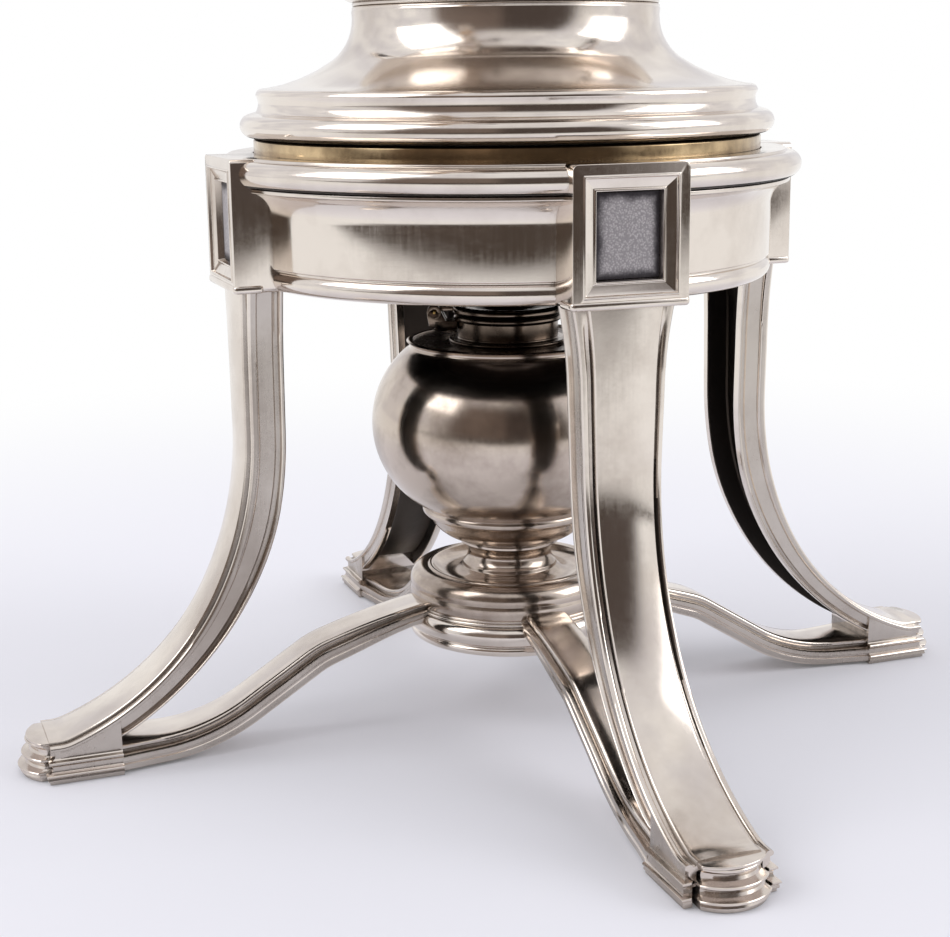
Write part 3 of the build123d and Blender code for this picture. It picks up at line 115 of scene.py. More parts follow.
class Profile:
    """A line of points in millimetres, drawn with straight runs and bowed arcs."""

    def __init__(self, start: Point, *steps: tuple[float, ...]) -> None:
        """Draw the line.

        Args:
            start: The first point.
            steps: The points that follow. A third number bows the way to its point, as bow says.
        """
        self.points: list[Point] = [start]
        for step in steps:
            (self.to if len(step) == 2 else self.bow)(*step)

    def to(self, a: float, b: float) -> "Profile":
        """Go straight to a point."""
        self.points.append((a, b))
        return self

    def bow(self, a: float, b: float, rise: float) -> "Profile":
        """Go to a point on an arc.

        Args:
            a: The point's first coordinate.
            b: The point's second coordinate.
            rise: How far the arc stands off its chord, to the right of the way.

        Returns:
            The profile itself.
        """
        start = Vector(self.points[-1])
        end = Vector((a, b))
        chord = end - start
        half = chord.length / 2
        radius = (half**2 + rise**2) / (2 * abs(rise))
        right = Vector((chord.y, -chord.x)).normalized() * (1 if rise > 0 else -1)
        centre = (start + end) / 2 - right * (radius - abs(rise))
        spread = 2 * asin(min(1.0, half / radius))
        steps = max(4, ceil(degrees(spread) / ARC_STEP))
        along = chord.normalized()
        for step in range(1, steps):
            angle = spread * (step / steps - 0.5)
            place = centre + radius * (right * cos(angle) + along * sin(angle))
            self.points.append((place.x, place.y))
        self.points.append((a, b))
        return self

    def softened(self, radius: float, closed: bool = True) -> list[Point]:
        """Round the profile's sharp corners.

        Args:
            radius: How round each corner becomes, in millimetres.
            closed: Whether the line comes back to its start.

        Returns:
            The points of the rounded line.
        """
        points = [Vector(p) for p in self.points]
        count = len(points)
        made: list[Point] = []
        for i, here in enumerate(points):
            if not closed and i in (0, count - 1):
                made.append((here.x, here.y))
                continue
            before, after = points[i - 1] - here, points[(i + 1) % count] - here
            if min(before.length, after.length) < 1e-7:
                continue
            turn = pi - before.angle(after)
            if degrees(turn) < CORNER_TURN:
                made.append((here.x, here.y))
                continue
            reach = min(radius * tan(turn / 2), *(ROUNDING_SHARE * side.length for side in (before, after)))
            first, last = here + before.normalized() * reach, here + after.normalized() * reach
            for step in range(ROUNDING_STEPS + 1):
                t = step / ROUNDING_STEPS
                place = first * (1 - t) ** 2 + here * 2 * t * (1 - t) + last * t**2
                made.append((place.x, place.y))
        return made


def quadratic(points: Sequence[Point], at: float) -> float:
    """The value at a place of the parabola through three points.

    Args:
        points: The three points, as place and value.
        at: The place.

    Returns:
        The value.
    """
    (x0, y0), (x1, y1), (x2, y2) = points
    a = y0 * (at - x1) * (at - x2) / ((x0 - x1) * (x0 - x2))
    b = y1 * (at - x0) * (at - x2) / ((x1 - x0) * (x1 - x2))
    c = y2 * (at - x0) * (at - x1) / ((x2 - x0) * (x2 - x1))
    return a + b + c


def eased(low: float, high: float, at: float) -> float:
    """How far a place has come from low to high, eased at both ends."""
    t = min(1.0, max(0.0, (at - low) / (high - low)))
    return t * t * (3 - 2 * t)


# Modelling at the bench

def clear_selection() -> None:
    """Leave edit mode and deselect everything."""
    if bpy.context.mode != "OBJECT":
        bpy.ops.object.mode_set(mode="OBJECT")
    bpy.ops.object.select_all(action="DESELECT")


def select_only(piece: Piece) -> None:
    """Select one piece and make it active."""
    clear_selection()
    piece.select_set(True)
    bpy.context.view_layer.objects.active = piece


def named(piece: Piece, name: str) -> Piece:
    """Give a piece and its mesh their name."""
    piece.name = name
    piece.data.name = name
    return piece


def draw_line(name: str, points: Sequence[Vector]) -> Piece:
    """Draw a line of edges by extruding one vertex, and stay in edit mode.

    Args:
        name: The new piece's name.
        points: Where the line goes, in metres.

    Returns:
        The new piece.
    """
    clear_selection()
    bpy.ops.mesh.primitive_plane_add(size=MM, location=(0, 0, 0))
    piece = named(bpy.context.active_object, name)
    bpy.ops.object.mode_set(mode="EDIT")
    bpy.ops.mesh.select_mode(type="VERT")
    bpy.ops.mesh.select_all(action="SELECT")
    bpy.ops.mesh.merge(type="CENTER")
    bpy.ops.transform.translate(value=points[0])
    for before, after in zip(points, points[1:]):
        extrude(after - before)
    return piece


def extrude(way: Vector) -> None:
    """Extrude what is selected, by a way in metres."""
    bpy.ops.mesh.extrude_region_move(TRANSFORM_OT_translate={"value": way})


def fill_line() -> None:
    """Fill the closed line that was drawn with one face."""
    bpy.ops.mesh.select_all(action="SELECT")
    bpy.ops.mesh.edge_face_add()


def merge_doubles() -> None:
    """Merge vertices that lie on one another, and select all."""
    bpy.ops.mesh.select_all(action="SELECT")
    bpy.ops.mesh.remove_doubles(threshold=MERGE)
    bpy.ops.mesh.select_all(action="SELECT")


def close_shell(piece: Piece) -> Piece:
    """Merge doubles, turn the faces outwards and leave edit mode."""
    merge_doubles()
    bpy.ops.mesh.normals_make_consistent(inside=False)
    bpy.ops.object.mode_set(mode="OBJECT")
    return piece


def turned(name: str, points: Sequence[Point], steps: int = ROUND_STEPS) -> Piece:
    """Turn a closed outline about the samovar's axis.

    Args:
        name: The new piece's name.
        points: The outline as radius and height, in millimetres.
        steps: How many steps the turn takes.

    Returns:
        The new piece, a closed shell.
    """
    line = [Vector((r * MM, 0, z * MM)) for r, z in points]
    on_axis = points[0][0] == 0 and points[-1][0] == 0
    piece = draw_line(name, line if on_axis else [*line, line[0]])
    merge_doubles()
    bpy.ops.mesh.spin(steps=steps, angle=2 * pi, center=(0, 0, 0), axis=(0, 0, 1))
    return close_shell(piece)


def turned_part(name: str, points: Sequence[Point], start: float, end: float, steps: int) -> Piece:
    """Turn a closed outline through part of a circle and close its ends.

    Args:
        name: The new piece's name.
        points: The outline as radius and height, in millimetres.
        start: The angle that the part starts at, in degrees.
        end: The angle that it ends at, in degrees.
        steps: How many steps the turn takes.

    Returns:
        The new piece, a closed shell.
    """
    line = [Vector((r * cos(radians(start)), r * sin(radians(start)), z)) * MM for r, z in points]
    piece = draw_line(name, [*line, line[0]])
    merge_doubles()
    bpy.ops.mesh.spin(steps=steps, angle=radians(start - end), center=(0, 0, 0), axis=(0, 0, 1))
    bpy.ops.mesh.select_all(action="SELECT")
    bpy.ops.mesh.fill_holes(sides=0)
    return close_shell(piece)


@dataclass(frozen=True)
class Station:
    """A place on a way in the XZ plane, in millimetres, with the section's slope and size there."""

    x: float
    z: float
    slope: float
    wide: float = 1.0
    deep: float = 1.0

    def place(self) -> Vector:
        """The place in metres."""
        return Vector((self.x, 0, self.z)) * MM


def turn_selected(angle: float, axis: str, centre: Vector) -> None:
    """Turn what is selected right-handed, in degrees; the operator's own sign is the other way."""
    bpy.ops.transform.rotate(value=-radians(angle), orient_axis=axis, center_override=centre)


class Kind(Enum):
    """What is selected in edit mode, as bmesh calls it."""

    VERT = "verts"
    EDGE = "edges"
    FACE = "faces"


def select_where(piece: Piece, kind: Kind, test: Callable[[Any], bool]) -> None:
    """Select those of a piece's vertices, edges or faces that pass a test.

    Args:
        piece: The piece, in edit mode.
        kind: What is selected.
        test: Whether one of them is selected. Its lengths are in metres.
    """
    bpy.ops.mesh.select_mode(type=kind.name)
    bpy.ops.mesh.select_all(action="DESELECT")
    mesh = bmesh.from_edit_mesh(piece.data)
    for part in getattr(mesh, kind.value):
        if test(part):
            part.select_set(True)
    if kind is Kind.VERT:
        mesh.select_flush(True)
    bmesh.update_edit_mesh(piece.data)


def extruded(name: str, outline: Sequence[Vector], way: Vector) -> Piece:
    """Fill a flat outline and extrude it.

    Args:
        name: The new piece's name.
        outline: The outline's points, in millimetres.
        way: How far and which way it is extruded, in millimetres.

    Returns:
        The new piece, a closed shell.
    """
    piece = draw_line(name, [point * MM for point in outline])
    fill_line()
    extrude(way * MM)
    return close_shell(piece)


def mirrored(half: Sequence[Point]) -> list[Point]:
    """A closed section from its right half, which starts at the middle."""
    return [*half, *((-across, depth) for across, depth in reversed(half) if across > 1e-9)]


def swept(name: str, section: Sequence[Point], way: Sequence[Station]) -> Piece:
    """Carry a closed section along a way, one extrusion a station, and close both ends.

    Args:
        name: The new piece's name.
        section: Points across the way and back from its line, in millimetres.
        way: The stations, first to last.

    Returns:
        The new piece, a closed shell.
    """
    first = way[0]
    places = [Vector((0, across * first.wide, -depth * first.deep)) * MM for across, depth in section]
    piece = draw_line(name, [first.place() + place for place in places])
    fill_line()
    turn_selected(first.slope, "Y", first.place())
    for before, here in zip(way, way[1:]):
        extrude(here.place() - before.place())
        growth = (1.0, here.wide / before.wide, here.deep / before.deep)
        if growth == (1.0, 1.0, 1.0):
            turn_selected(here.slope - before.slope, "Y", here.place())
            continue
        turn_selected(-before.slope, "Y", here.place())
        bpy.ops.transform.resize(value=growth, center_override=here.place())
        turn_selected(here.slope, "Y", here.place())
    return close_shell(piece)


def tube(name: str, radius: float, way: Sequence[Station], sides: int = 36) -> Piece:
    """A round rod along a way."""
    angles = [2 * pi * side / sides for side in range(sides)]
    return swept(name, [(radius * cos(a), radius * sin(a)) for a in angles], way)


def block(name: str, low: Place, high: Place) -> Piece:
    """A box between two corners, in millimetres, to be shaped further."""
    clear_selection()
    middle = (Vector(low) + Vector(high)) / 2 * MM
    bpy.ops.mesh.primitive_cube_add(size=1, location=middle, scale=(Vector(high) - Vector(low)) * MM)
    piece = named(bpy.context.active_object, name)
    bpy.ops.object.transform_apply(location=True, rotation=True, scale=True)
    return piece


def bevelled(piece: Piece, width: float, segments: int = 3, angle: float = 32.0) -> Piece:
    """Round a piece's sharp edges.

    Args:
        piece: The piece.
        width: The bevel's width in millimetres.
        segments: How many faces it has across.
        angle: How sharp an edge has to be, in degrees.

    Returns:
        The piece itself.
    """
    select_only(piece)
    bevel = piece.modifiers.new("Bevel", "BEVEL")
    bevel.width = width * MM
    bevel.segments = segments
    bevel.limit_method = "ANGLE"
    bevel.angle_limit = radians(angle)
    bevel.miter_outer = "MITER_ARC"
    bpy.ops.object.modifier_apply(modifier=bevel.name)
    return piece


def joined(name: str, pieces: Sequence[Piece]) -> Piece:
    """Make several meshes one piece."""
    clear_selection()
    for piece in pieces:
        piece.select_set(True)
    bpy.context.view_layer.objects.active = pieces[0]
    if len(pieces) > 1:
        bpy.ops.object.join()
    return named(bpy.context.view_layer.objects.active, name)


def moved(piece: Piece, place: Matrix) -> Piece:
    """Move a piece and put its place into its mesh."""
    select_only(piece)
    piece.matrix_world = place @ piece.matrix_world
    bpy.ops.object.transform_apply(location=True, rotation=True, scale=True)
    return piece


def copied(piece: Piece, name: str, angle: float) -> Piece:
    """A copy of a piece, with its own mesh, turned about the samovar's axis.

    Args:
        piece: The piece to copy.
        name: The copy's name.
        angle: The turn in degrees.

    Returns:
        The copy.
    """
    twin = piece.copy()
    twin.data = piece.data.copy()
    bpy.context.scene.collection.objects.link(named(twin, name))
    return moved(twin, turn_about(angle, "Z"))


def shift(x: float = 0, y: float = 0, z: float = 0) -> Matrix:
    """A move in millimetres."""
    return Matrix.Translation(Vector((x, y, z)) * MM)


def turn_about(angle: float, axis: str) -> Matrix:
    """A right-handed turn about an axis, in degrees."""
    return Matrix.Rotation(radians(angle), 4, axis)


def bend(x: float, z: float, radius: float, start: float, turn: float, steps: int) -> list[Place]:
    """Places on an arc that goes on from a place, as radius, height and downward slope.

    Args:
        x: The radius that the arc starts at.
        z: The height that it starts at.
        radius: The arc's own radius.
        start: The slope that it starts with, in degrees.
        turn: How much steeper it gets, in degrees; less than nothing makes it level out.
        steps: How many places it has.

    Returns:
        The places after the first one.
    """
    hand = 1 if turn > 0 else -1
    places = []
    for step in range(1, steps + 1):
        now, first = radians(start + turn * step / steps), radians(start)
        out, drop = hand * radius * (sin(now) - sin(first)), hand * radius * (cos(first) - cos(now))
        places.append((x + out, z - drop, degrees(now)))
    return places


# Finishes

def linear(code: str) -> tuple[float, float, float, float]:
    """The linear colour of an sRGB hex code.

    Args:
        code: Six hex digits after a #.

    Returns:
        Red, green, blue and alpha.
    """
    shares = [int(code[i:i + 2], 16) / 255 for i in (1, 3, 5)]
    r, g, b = [s / 12.92 if s <= 0.04045 else ((s + 0.055) / 1.055) ** 2.4 for s in shares]
    return (r, g, b, 1.0)


def per(size_mm: float) -> float:
    """A pattern's scale, from the real size of its marks."""
    return 1 / (size_mm * MM)


def add(
        tree: Tree, kind: str, sockets: dict[Any, Any] | Sequence[Any] = (), **settings: Any,
) -> bpy.types.Node:
    """Add a node with its settings and links.

    Args:
        tree: The node tree.
        kind: The node's type, without "ShaderNode".
        sockets: Its inputs in their order, or by name or number. Each is a constant, an output,
            or a node, whose first output in use is then linked.
        settings: The node's own properties.

    Returns:
        The new node.
    """
    made = tree.nodes.new("ShaderNode" + kind)
    for name, value in settings.items():
        setattr(made, name, value)
    for key, value in sockets.items() if isinstance(sockets, dict) else enumerate(sockets):
        if isinstance(value, bpy.types.Node):
            value = next(output for output in value.outputs if output.enabled)
        if isinstance(value, bpy.types.NodeSocket):
            tree.links.new(value, made.inputs[key])
        else:
            made.inputs[key].default_value = value
    return made


@dataclass(frozen=True)
class Finish:
    """What a piece is made of, and how its surface was worked."""

    name: str
    slot: Slot

    def paint(self, tree: Tree, place: bpy.types.NodeSocket) -> bpy.types.Node:
        """Add the finish's nodes.

        Args:
            tree: The material's node tree.
            place: The piece's Object coordinates.

        Returns:
            The shader.
        """
        raise NotImplementedError

    def material(self) -> bpy.types.Material:
        """Build the finish's material.

        Returns:
            The material.
        """
        made = empty_material(self.name)
        place = add(made.node_tree, "TexCoord").outputs["Object"]
        add(made.node_tree, "OutputMaterial", {"Surface": self.paint(made.node_tree, place)})
        return made


def empty_material(name: str) -> bpy.types.Material:
    """A material with a node tree and nothing in it."""
    made = bpy.data.materials.new(name)
    made.use_nodes = True
    made.node_tree.nodes.clear()
    return made


@dataclass(frozen=True)
class BuffedSilver(Finish):
    """Sterling silver, spun or cast, then buffed by hand: bright, a little warm, softly streaked."""

    name: str = "buffed_silver"
    slot: Slot = Slot.SILVER
    colour: str = "#E6DDD4"
    tarnish: str = "#968272"
    crevice: str = "#4A3C34"
    # The colour of lamp black, which also serves as painted shade
    soot: str = "#241D1A"
    roughness: float = 0.07
    roughness_worn: float = 0.2
    roughness_sooted: float = 0.35
    cloud_mm: float = 42.0
    streak_mm: float = 0.9
    scratch_mm: float = 1.4
    stain_mm: float = 3.2
    wave_mm: float = 16.0
    wave_depth_mm: float = 0.3
    mark_depth_mm: float = 0.05
    crevice_mm: float = 2.4
    tarnish_share: float = 0.42
    bump: float = 0.05

    def paint(self, tree: Tree, place: bpy.types.NodeSocket) -> bpy.types.Node:
        """Add the silver's nodes, and return its shader."""
        # Clouds of thin tarnish, a few centimetres across
        cloud = add(
            tree, "TexNoise", {"Vector": place, "Scale": per(self.cloud_mm), "Detail": 6.0, "Roughness": 0.6})
        clouds = add(tree, "MapRange", (cloud, 0.42, 0.72, 0.0, self.tarnish_share))
        # Cloth marks: hair lines drawn out along the height and across it, coarser than real ones
        # so that they show
        upright = add(tree, "Mapping", {"Vector": place, "Scale": (1.0, 1.0, 0.05)})
        level = add(
            tree, "Mapping", {"Vector": place, "Rotation": (0.5, 0.35, 0.2), "Scale": (0.06, 1.0, 1.0)})
        streak = {"Vector": upright, "Scale": per(self.streak_mm), "Detail": 3.0, "Roughness": 0.7}
        streaks = add(tree, "TexNoise", streak)
        hair = {"Vector": level, "Scale": per(self.scratch_mm), "Detail": 4.0, "Roughness": 0.75}
        both = add(tree, "Math", (streaks, add(tree, "TexNoise", hair)), operation="ADD")
        marks = add(tree, "MapRange", (both, 0.8, 1.25, 0.0, 1.0))
        # Polish never reaches the crevices, so they stay brown
        near = add(tree, "AmbientOcclusion", {"Distance": self.crevice_mm * MM}, samples=6).outputs["AO"]
        hidden = add(tree, "MapRange", (near, 0.18, 0.62, 0.8, 0.0))
        stain = {"Vector": place, "Scale": per(self.stain_mm), "Detail": 5.0, "Roughness": 0.65}
        broken = add(tree, "Math", (hidden, add(tree, "TexNoise", stain)), operation="MULTIPLY")
        deep = add(tree, "Math", (broken, 1.7), operation="MULTIPLY", use_clamp=True)
        warm = add(
            tree, "Mix", {0: clouds, 6: linear(self.colour), 7: linear(self.tarnish)}, data_type="RGBA")
        colour = add(tree, "Mix", {0: deep, 6: warm, 7: linear(self.crevice)}, data_type="RGBA")
        cloudy = add(tree, "MapRange", (cloud, 0.35, 0.7, self.roughness, self.roughness_worn))
        dull = add(tree, "Math", (deep, 0.3, cloudy), operation="MULTIPLY_ADD")
        rough = add(tree, "Math", (marks, 0.06, dull), operation="MULTIPLY_ADD")
        # Lamp black where the flame's smoke has settled, and painted shade inside the stand, in the legs'
        # channels and on the blocks' backs; the flat sides are made a little darker too
        soot_shade_and_dull_share = add(tree, "Attribute", attribute_name=SOOT_SHADE_AND_DULL).outputs["Fac"]
        colour = add(tree, "Mix", {0: soot_shade_and_dull_share, 6: colour, 7: linear(self.soot)}, data_type="RGBA")
        rough = add(tree, "Math", (soot_shade_and_dull_share, self.roughness_sooted, rough), operation="MULTIPLY_ADD")
        # Buffing leaves the sheet very slightly wavy
        wave = add(tree, "TexNoise", {"Vector": place, "Scale": per(self.wave_mm), "Detail": 1.0})
        low = add(tree, "Bump", {"Strength": 0.06, "Distance": self.wave_depth_mm * MM, "Height": wave})
        mark = {"Strength": self.bump, "Distance": self.mark_depth_mm * MM, "Height": both, "Normal": low}
        fine = add(tree, "Bump", mark)
        sockets = {"Base Color": colour, "Metallic": 1.0, "Roughness": rough, "Normal": fine}
        return add(tree, "BsdfPrincipled", sockets)


@dataclass(frozen=True)
class MattedSilver(Finish):
    """Silver punched all over with a fine matting tool: dull, grainy, darker towards its edges."""

    name: str = "matted_silver"
    slot: Slot = Slot.MATTED
    colour: str = "#CDC8CA"
    dark: str = "#2F2B31"
    grain_mm: float = 0.55
    grain_depth_mm: float = 0.12
    patina_mm: float = 5.0
    roughness: float = 0.5
    metallic: float = 0.55
    edge_attribute: str = "edge"

    def paint(self, tree: Tree, place: bpy.types.NodeSocket) -> bpy.types.Node:
        """Add the matted silver's nodes, and return its shader."""
        grain = {"Vector": place, "Scale": per(self.grain_mm), "Smoothness": 0.4}
        punch = add(tree, "TexVoronoi", grain, feature="SMOOTH_F1")
        cloud = add(tree, "TexNoise", {"Vector": place, "Scale": per(self.patina_mm), "Detail": 5.0})
        edge = add(tree, "Attribute", attribute_name=self.edge_attribute).outputs["Fac"]
        uneven = add(tree, "Math", (cloud, 0.5, edge), operation="MULTIPLY_ADD")
        edge_darkening = add(tree, "MapRange", (uneven, 0.72, 1.16, 0.0, 0.95), interpolation_type="SMOOTHSTEP")
        speckle = add(tree, "MapRange", (punch, 0.1, 0.6, 0.0, 0.45))
        worn = add(tree, "Mix", {0: speckle, 6: linear(self.colour), 7: linear(self.dark)}, data_type="RGBA")
        colour = add(tree, "Mix", {0: edge_darkening, 6: worn, 7: linear(self.dark)}, data_type="RGBA")
        bump = add(tree, "Bump", {"Strength": 0.55, "Distance": self.grain_depth_mm * MM, "Height": punch})
        sockets = {
            "Base Color": colour, "Metallic": self.metallic, "Roughness": self.roughness, "Normal": bump}
        return add(tree, "BsdfPrincipled", sockets)


@dataclass(frozen=True)
class EbonisedWood(Finish):
    """Fruitwood stained black and waxed: near black, with a faint brown grain and a soft shine."""

    name: str = "ebonised_wood"
    slot: Slot = Slot.WOOD
    colour: str = "#1B1512"
    grain: str = "#3A271C"
    ring_mm: float = 1.3
    pore_depth_mm: float = 0.08
    roughness: float = 0.34
    wax: float = 0.35
    wax_roughness: float = 0.18
    stretch: Place = (1.0, 1.0, 0.08)

    def paint(self, tree: Tree, place: bpy.types.NodeSocket) -> bpy.types.Node:
        """Add the wood's nodes, and return its shader."""
        drawn = add(tree, "Mapping", {"Vector": place, "Scale": self.stretch})
        pore = {
            "Vector": drawn, "Scale": per(self.ring_mm), "Detail": 6.0, "Roughness": 0.6, "Distortion": 0.4}
        pores = add(tree, "TexNoise", pore)
        grain = add(tree, "MapRange", (pores, 0.42, 0.68, 0.0, 1.0))
        colour = add(tree, "Mix", {0: grain, 6: linear(self.colour), 7: linear(self.grain)}, data_type="RGBA")
        rough = add(tree, "MapRange", (pores, 0.0, 1.0, self.roughness - 0.08, self.roughness + 0.12))
        bump = add(tree, "Bump", {"Strength": 0.2, "Distance": self.pore_depth_mm * MM, "Height": pores})
        sockets = {"Base Color": colour, "Roughness": rough, "Normal": bump}
        sockets |= {"Coat Weight": self.wax, "Coat Roughness": self.wax_roughness}
        return add(tree, "BsdfPrincipled", sockets)


@dataclass(frozen=True)
class CottonWick(Finish):
    """Twisted cotton, scorched at the end that burns: soft, off-white, with a fibre's fuzz."""

    name: str = "cotton_wick"
    slot: Slot = Slot.COTTON
    colour: str = "#E2D9C4"
    shaded: str = "#A89A80"
    scorched: str = "#2B211B"
    strand_mm: float = 0.8
    strand_depth_mm: float = 0.3
    scorch_z_mm: float = 123.0
    roughness: float = 0.95

    def paint(self, tree: Tree, place: bpy.types.NodeSocket) -> bpy.types.Node:
        """Add the cotton's nodes, and return its shader."""
        drawn = add(tree, "Mapping", {"Vector": place, "Scale": (1.0, 1.0, 0.25)})
        strands = add(tree, "TexNoise", {"Vector": drawn, "Scale": per(self.strand_mm), "Detail": 4.0})
        height = add(tree, "SeparateXYZ", (place,)).outputs["Z"]
        low, high = (self.scorch_z_mm - 3) * MM, (self.scorch_z_mm + 0.6) * MM
        burnt = add(tree, "MapRange", (height, low, high), interpolation_type="SMOOTHSTEP")
        shade = add(tree, "MapRange", (strands, 0.35, 0.7, 0.0, 0.3))
        clean = add(tree, "Mix", {0: shade, 6: linear(self.colour), 7: linear(self.shaded)}, data_type="RGBA")
        colour = add(tree, "Mix", {0: burnt, 6: clean, 7: linear(self.scorched)}, data_type="RGBA")
        bump = add(tree, "Bump", {"Strength": 0.7, "Distance": self.strand_depth_mm * MM, "Height": strands})
        sockets = {"Base Color": colour, "Roughness": self.roughness, "Normal": bump}
        sockets |= {"Sheen Weight": 0.4, "Sheen Roughness": 0.5}
        return add(tree, "BsdfPrincipled", sockets)


@dataclass(frozen=True)
class TurnedBrass(Finish):
    """Brass turned on a lathe and left to dull: yellow, with fine rings and brown in its corners."""

    name: str = "turned_brass"
    slot: Slot = Slot.BRASS
    colour: str = "#C9A566"
    dull: str = "#7C5B34"
    ring_mm: float = 0.5
    ring_depth_mm: float = 0.05
    stain_mm: float = 6.0
    roughness: float = 0.28

    def paint(self, tree: Tree, place: bpy.types.NodeSocket) -> bpy.types.Node:
        """Add the brass's nodes, and return its shader."""
        rings = add(tree, "TexNoise", {"Vector": place, "Scale": per(self.ring_mm), "Detail": 3.0})
        stain = add(tree, "TexNoise", {"Vector": place, "Scale": per(self.stain_mm), "Detail": 5.0})
        dull = add(tree, "MapRange", (stain, 0.4, 0.7, 0.0, 0.7))
        colour = add(tree, "Mix", {0: dull, 6: linear(self.colour), 7: linear(self.dull)}, data_type="RGBA")
        rough = add(tree, "MapRange", (stain, 0.0, 1.0, self.roughness - 0.1, self.roughness + 0.2))
        bump = add(tree, "Bump", {"Strength": 0.12, "Distance": self.ring_depth_mm * MM, "Height": rings})
        sockets = {"Base Color": colour, "Metallic": 1.0, "Roughness": rough, "Normal": bump}
        return add(tree, "BsdfPrincipled", sockets)


SILVER = BuffedSilver()
# Silver for the seat flange: a warm gold tone, darkened to brown by painted shade of the gap under the
# pedestal
TONED_AND_SHADED = BuffedSilver(
    name="toned_silver", colour="#D2B890", tarnish="#4F3824", cloud_mm=24.0, tarnish_share=1.0)
LAMP_SILVER = BuffedSilver(
    name="lamp_silver", colour="#CDC0B4", tarnish="#6B584A", roughness=0.11, cloud_mm=22.0, tarnish_share=0.7)
# Silver for the lamp's top: stained dark by the flame, and darker still by painted shade from the stand's
# ring above it
FIRE_STAINED_AND_SHADED = BuffedSilver(
    name="fire_stained_silver", colour="#8C7D70", tarnish="#41342B", crevice="#1E1815", roughness=0.13,
    roughness_worn=0.28, cloud_mm=12.0, tarnish_share=0.8)
MATTED = MattedSilver()
WOOD = EbonisedWood()
KNOB_WOOD = EbonisedWood(name="ebonised_knob", stretch=(0.08, 1.0, 1.0))
COTTON = CottonWick()
BRASS = TurnedBrass()


def faces_flame(place: Vector, normal: Vector) -> bool:
    """Whether a face looks in at the samovar's axis or straight down, where the flame's smoke reaches it and
    shade falls inside the stand: it gets soot and painted shade.
    """
    outwards = Vector((place.x, place.y, 0)).normalized()
    return normal.dot(outwards) < -0.3 or (normal.z < -0.8 and place.z > FLAME_TOP_Z * MM)


def faces_bore(place: Vector, normal: Vector) -> bool:
    """Whether a block's face, on +X, is its back, which is painted black as shade in the ring's bore."""
    return normal.x < -0.5 and place.x < BLOCK_BACK_R * MM


def web_share(place: Vector, normal: Vector) -> float:
    """How dark and dull a face on +X is made: the flat sides are darker and rougher than the front."""
    return 0.3 if abs(normal.y) > 0.9 and abs(place.y) > WEB_FROM * MM else 0.0


def in_channel(place: Vector, normal: Vector) -> float:
    """How dark a leg's face is, on +X: black in the channel, as painted shade, and grey on the webs."""
    turned_in = normal.x + normal.z < -0.5 or normal.y * place.y < -0.3 * abs(place.y)
    return 0.92 if turned_in and abs(place.y) < CHANNEL_HALF_W * MM else web_share(place, normal)


def sooted(piece: Piece, test: Callable[[Vector, Vector], float]) -> Piece:
    """Mark each of a piece's faces with its share of soot, painted shade and dulling, for its finish.

    Args:
        piece: The piece.
        test: A face's share of soot, painted shade and dulling, from its middle in metres and its normal.

    Returns:
        The piece itself.
    """
    mark = piece.data.attributes.new(SOOT_SHADE_AND_DULL, "FLOAT", "FACE")
    for face in piece.data.polygons:
        mark.data[face.index].value = float(test(face.center, face.normal))
    return piece


class Workshop:
    """Dresses finished pieces: material, smooth shading, body, and the solids that they stand for."""

    def __init__(self) -> None:
        """Start with no material made."""
        self.made: dict[str, bpy.types.Material] = {}

    def dress(
            self, piece: Piece, finish: Finish, body: Body, *nodes: str, sharp: float = 34.0,
    ) -> Piece:
        """Give a piece its finish and its place in the model.

        Args:
            piece: The finished mesh.
            finish: What it is made of, with the record's material slot.
            body: The body that it rides on.
            nodes: The solids that it stands for.
            sharp: Edges that turn more than this many degrees stay sharp in the shading.

        Returns:
            The piece itself.
        """
        if finish.name not in self.made:
            self.made[finish.name] = finish.material()
        piece.data.materials.clear()
        piece.data.materials.append(self.made[finish.name])
        select_only(piece)
        bpy.ops.object.shade_smooth_by_angle(angle=radians(sharp))
        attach(piece, body.value)
        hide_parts(*nodes)
        LOG.info("%s: %d faces, on %s", piece.name, len(piece.data.polygons), body.value)
        return piece

    def repeat(
            self, places: type[Corner] | type[Side], body: Body, *kinds: tuple[Piece, str, Finish, str],
            sharp: float = 34.0,
    ) -> None:
        """Copy pieces made on +X to every corner or side, dress the copies and take the first ones away.

        Args:
            places: The corners or the sides.
            body: The body that the copies ride on.
            kinds: Pieces, each with its name's end, its finish and the start of its solids' names.
            sharp: Edges that turn more than this many degrees stay sharp in the shading.
        """
        for place in places:
            for piece, word, finish, node in kinds:
                twin = copied(piece, f"{place.word}_{word}", place.value)
                self.dress(twin, finish, body, f"{node}_{place.word}", sharp=sharp)
        for piece, *_ in kinds:
            bpy.data.objects.remove(piece)


# Stand

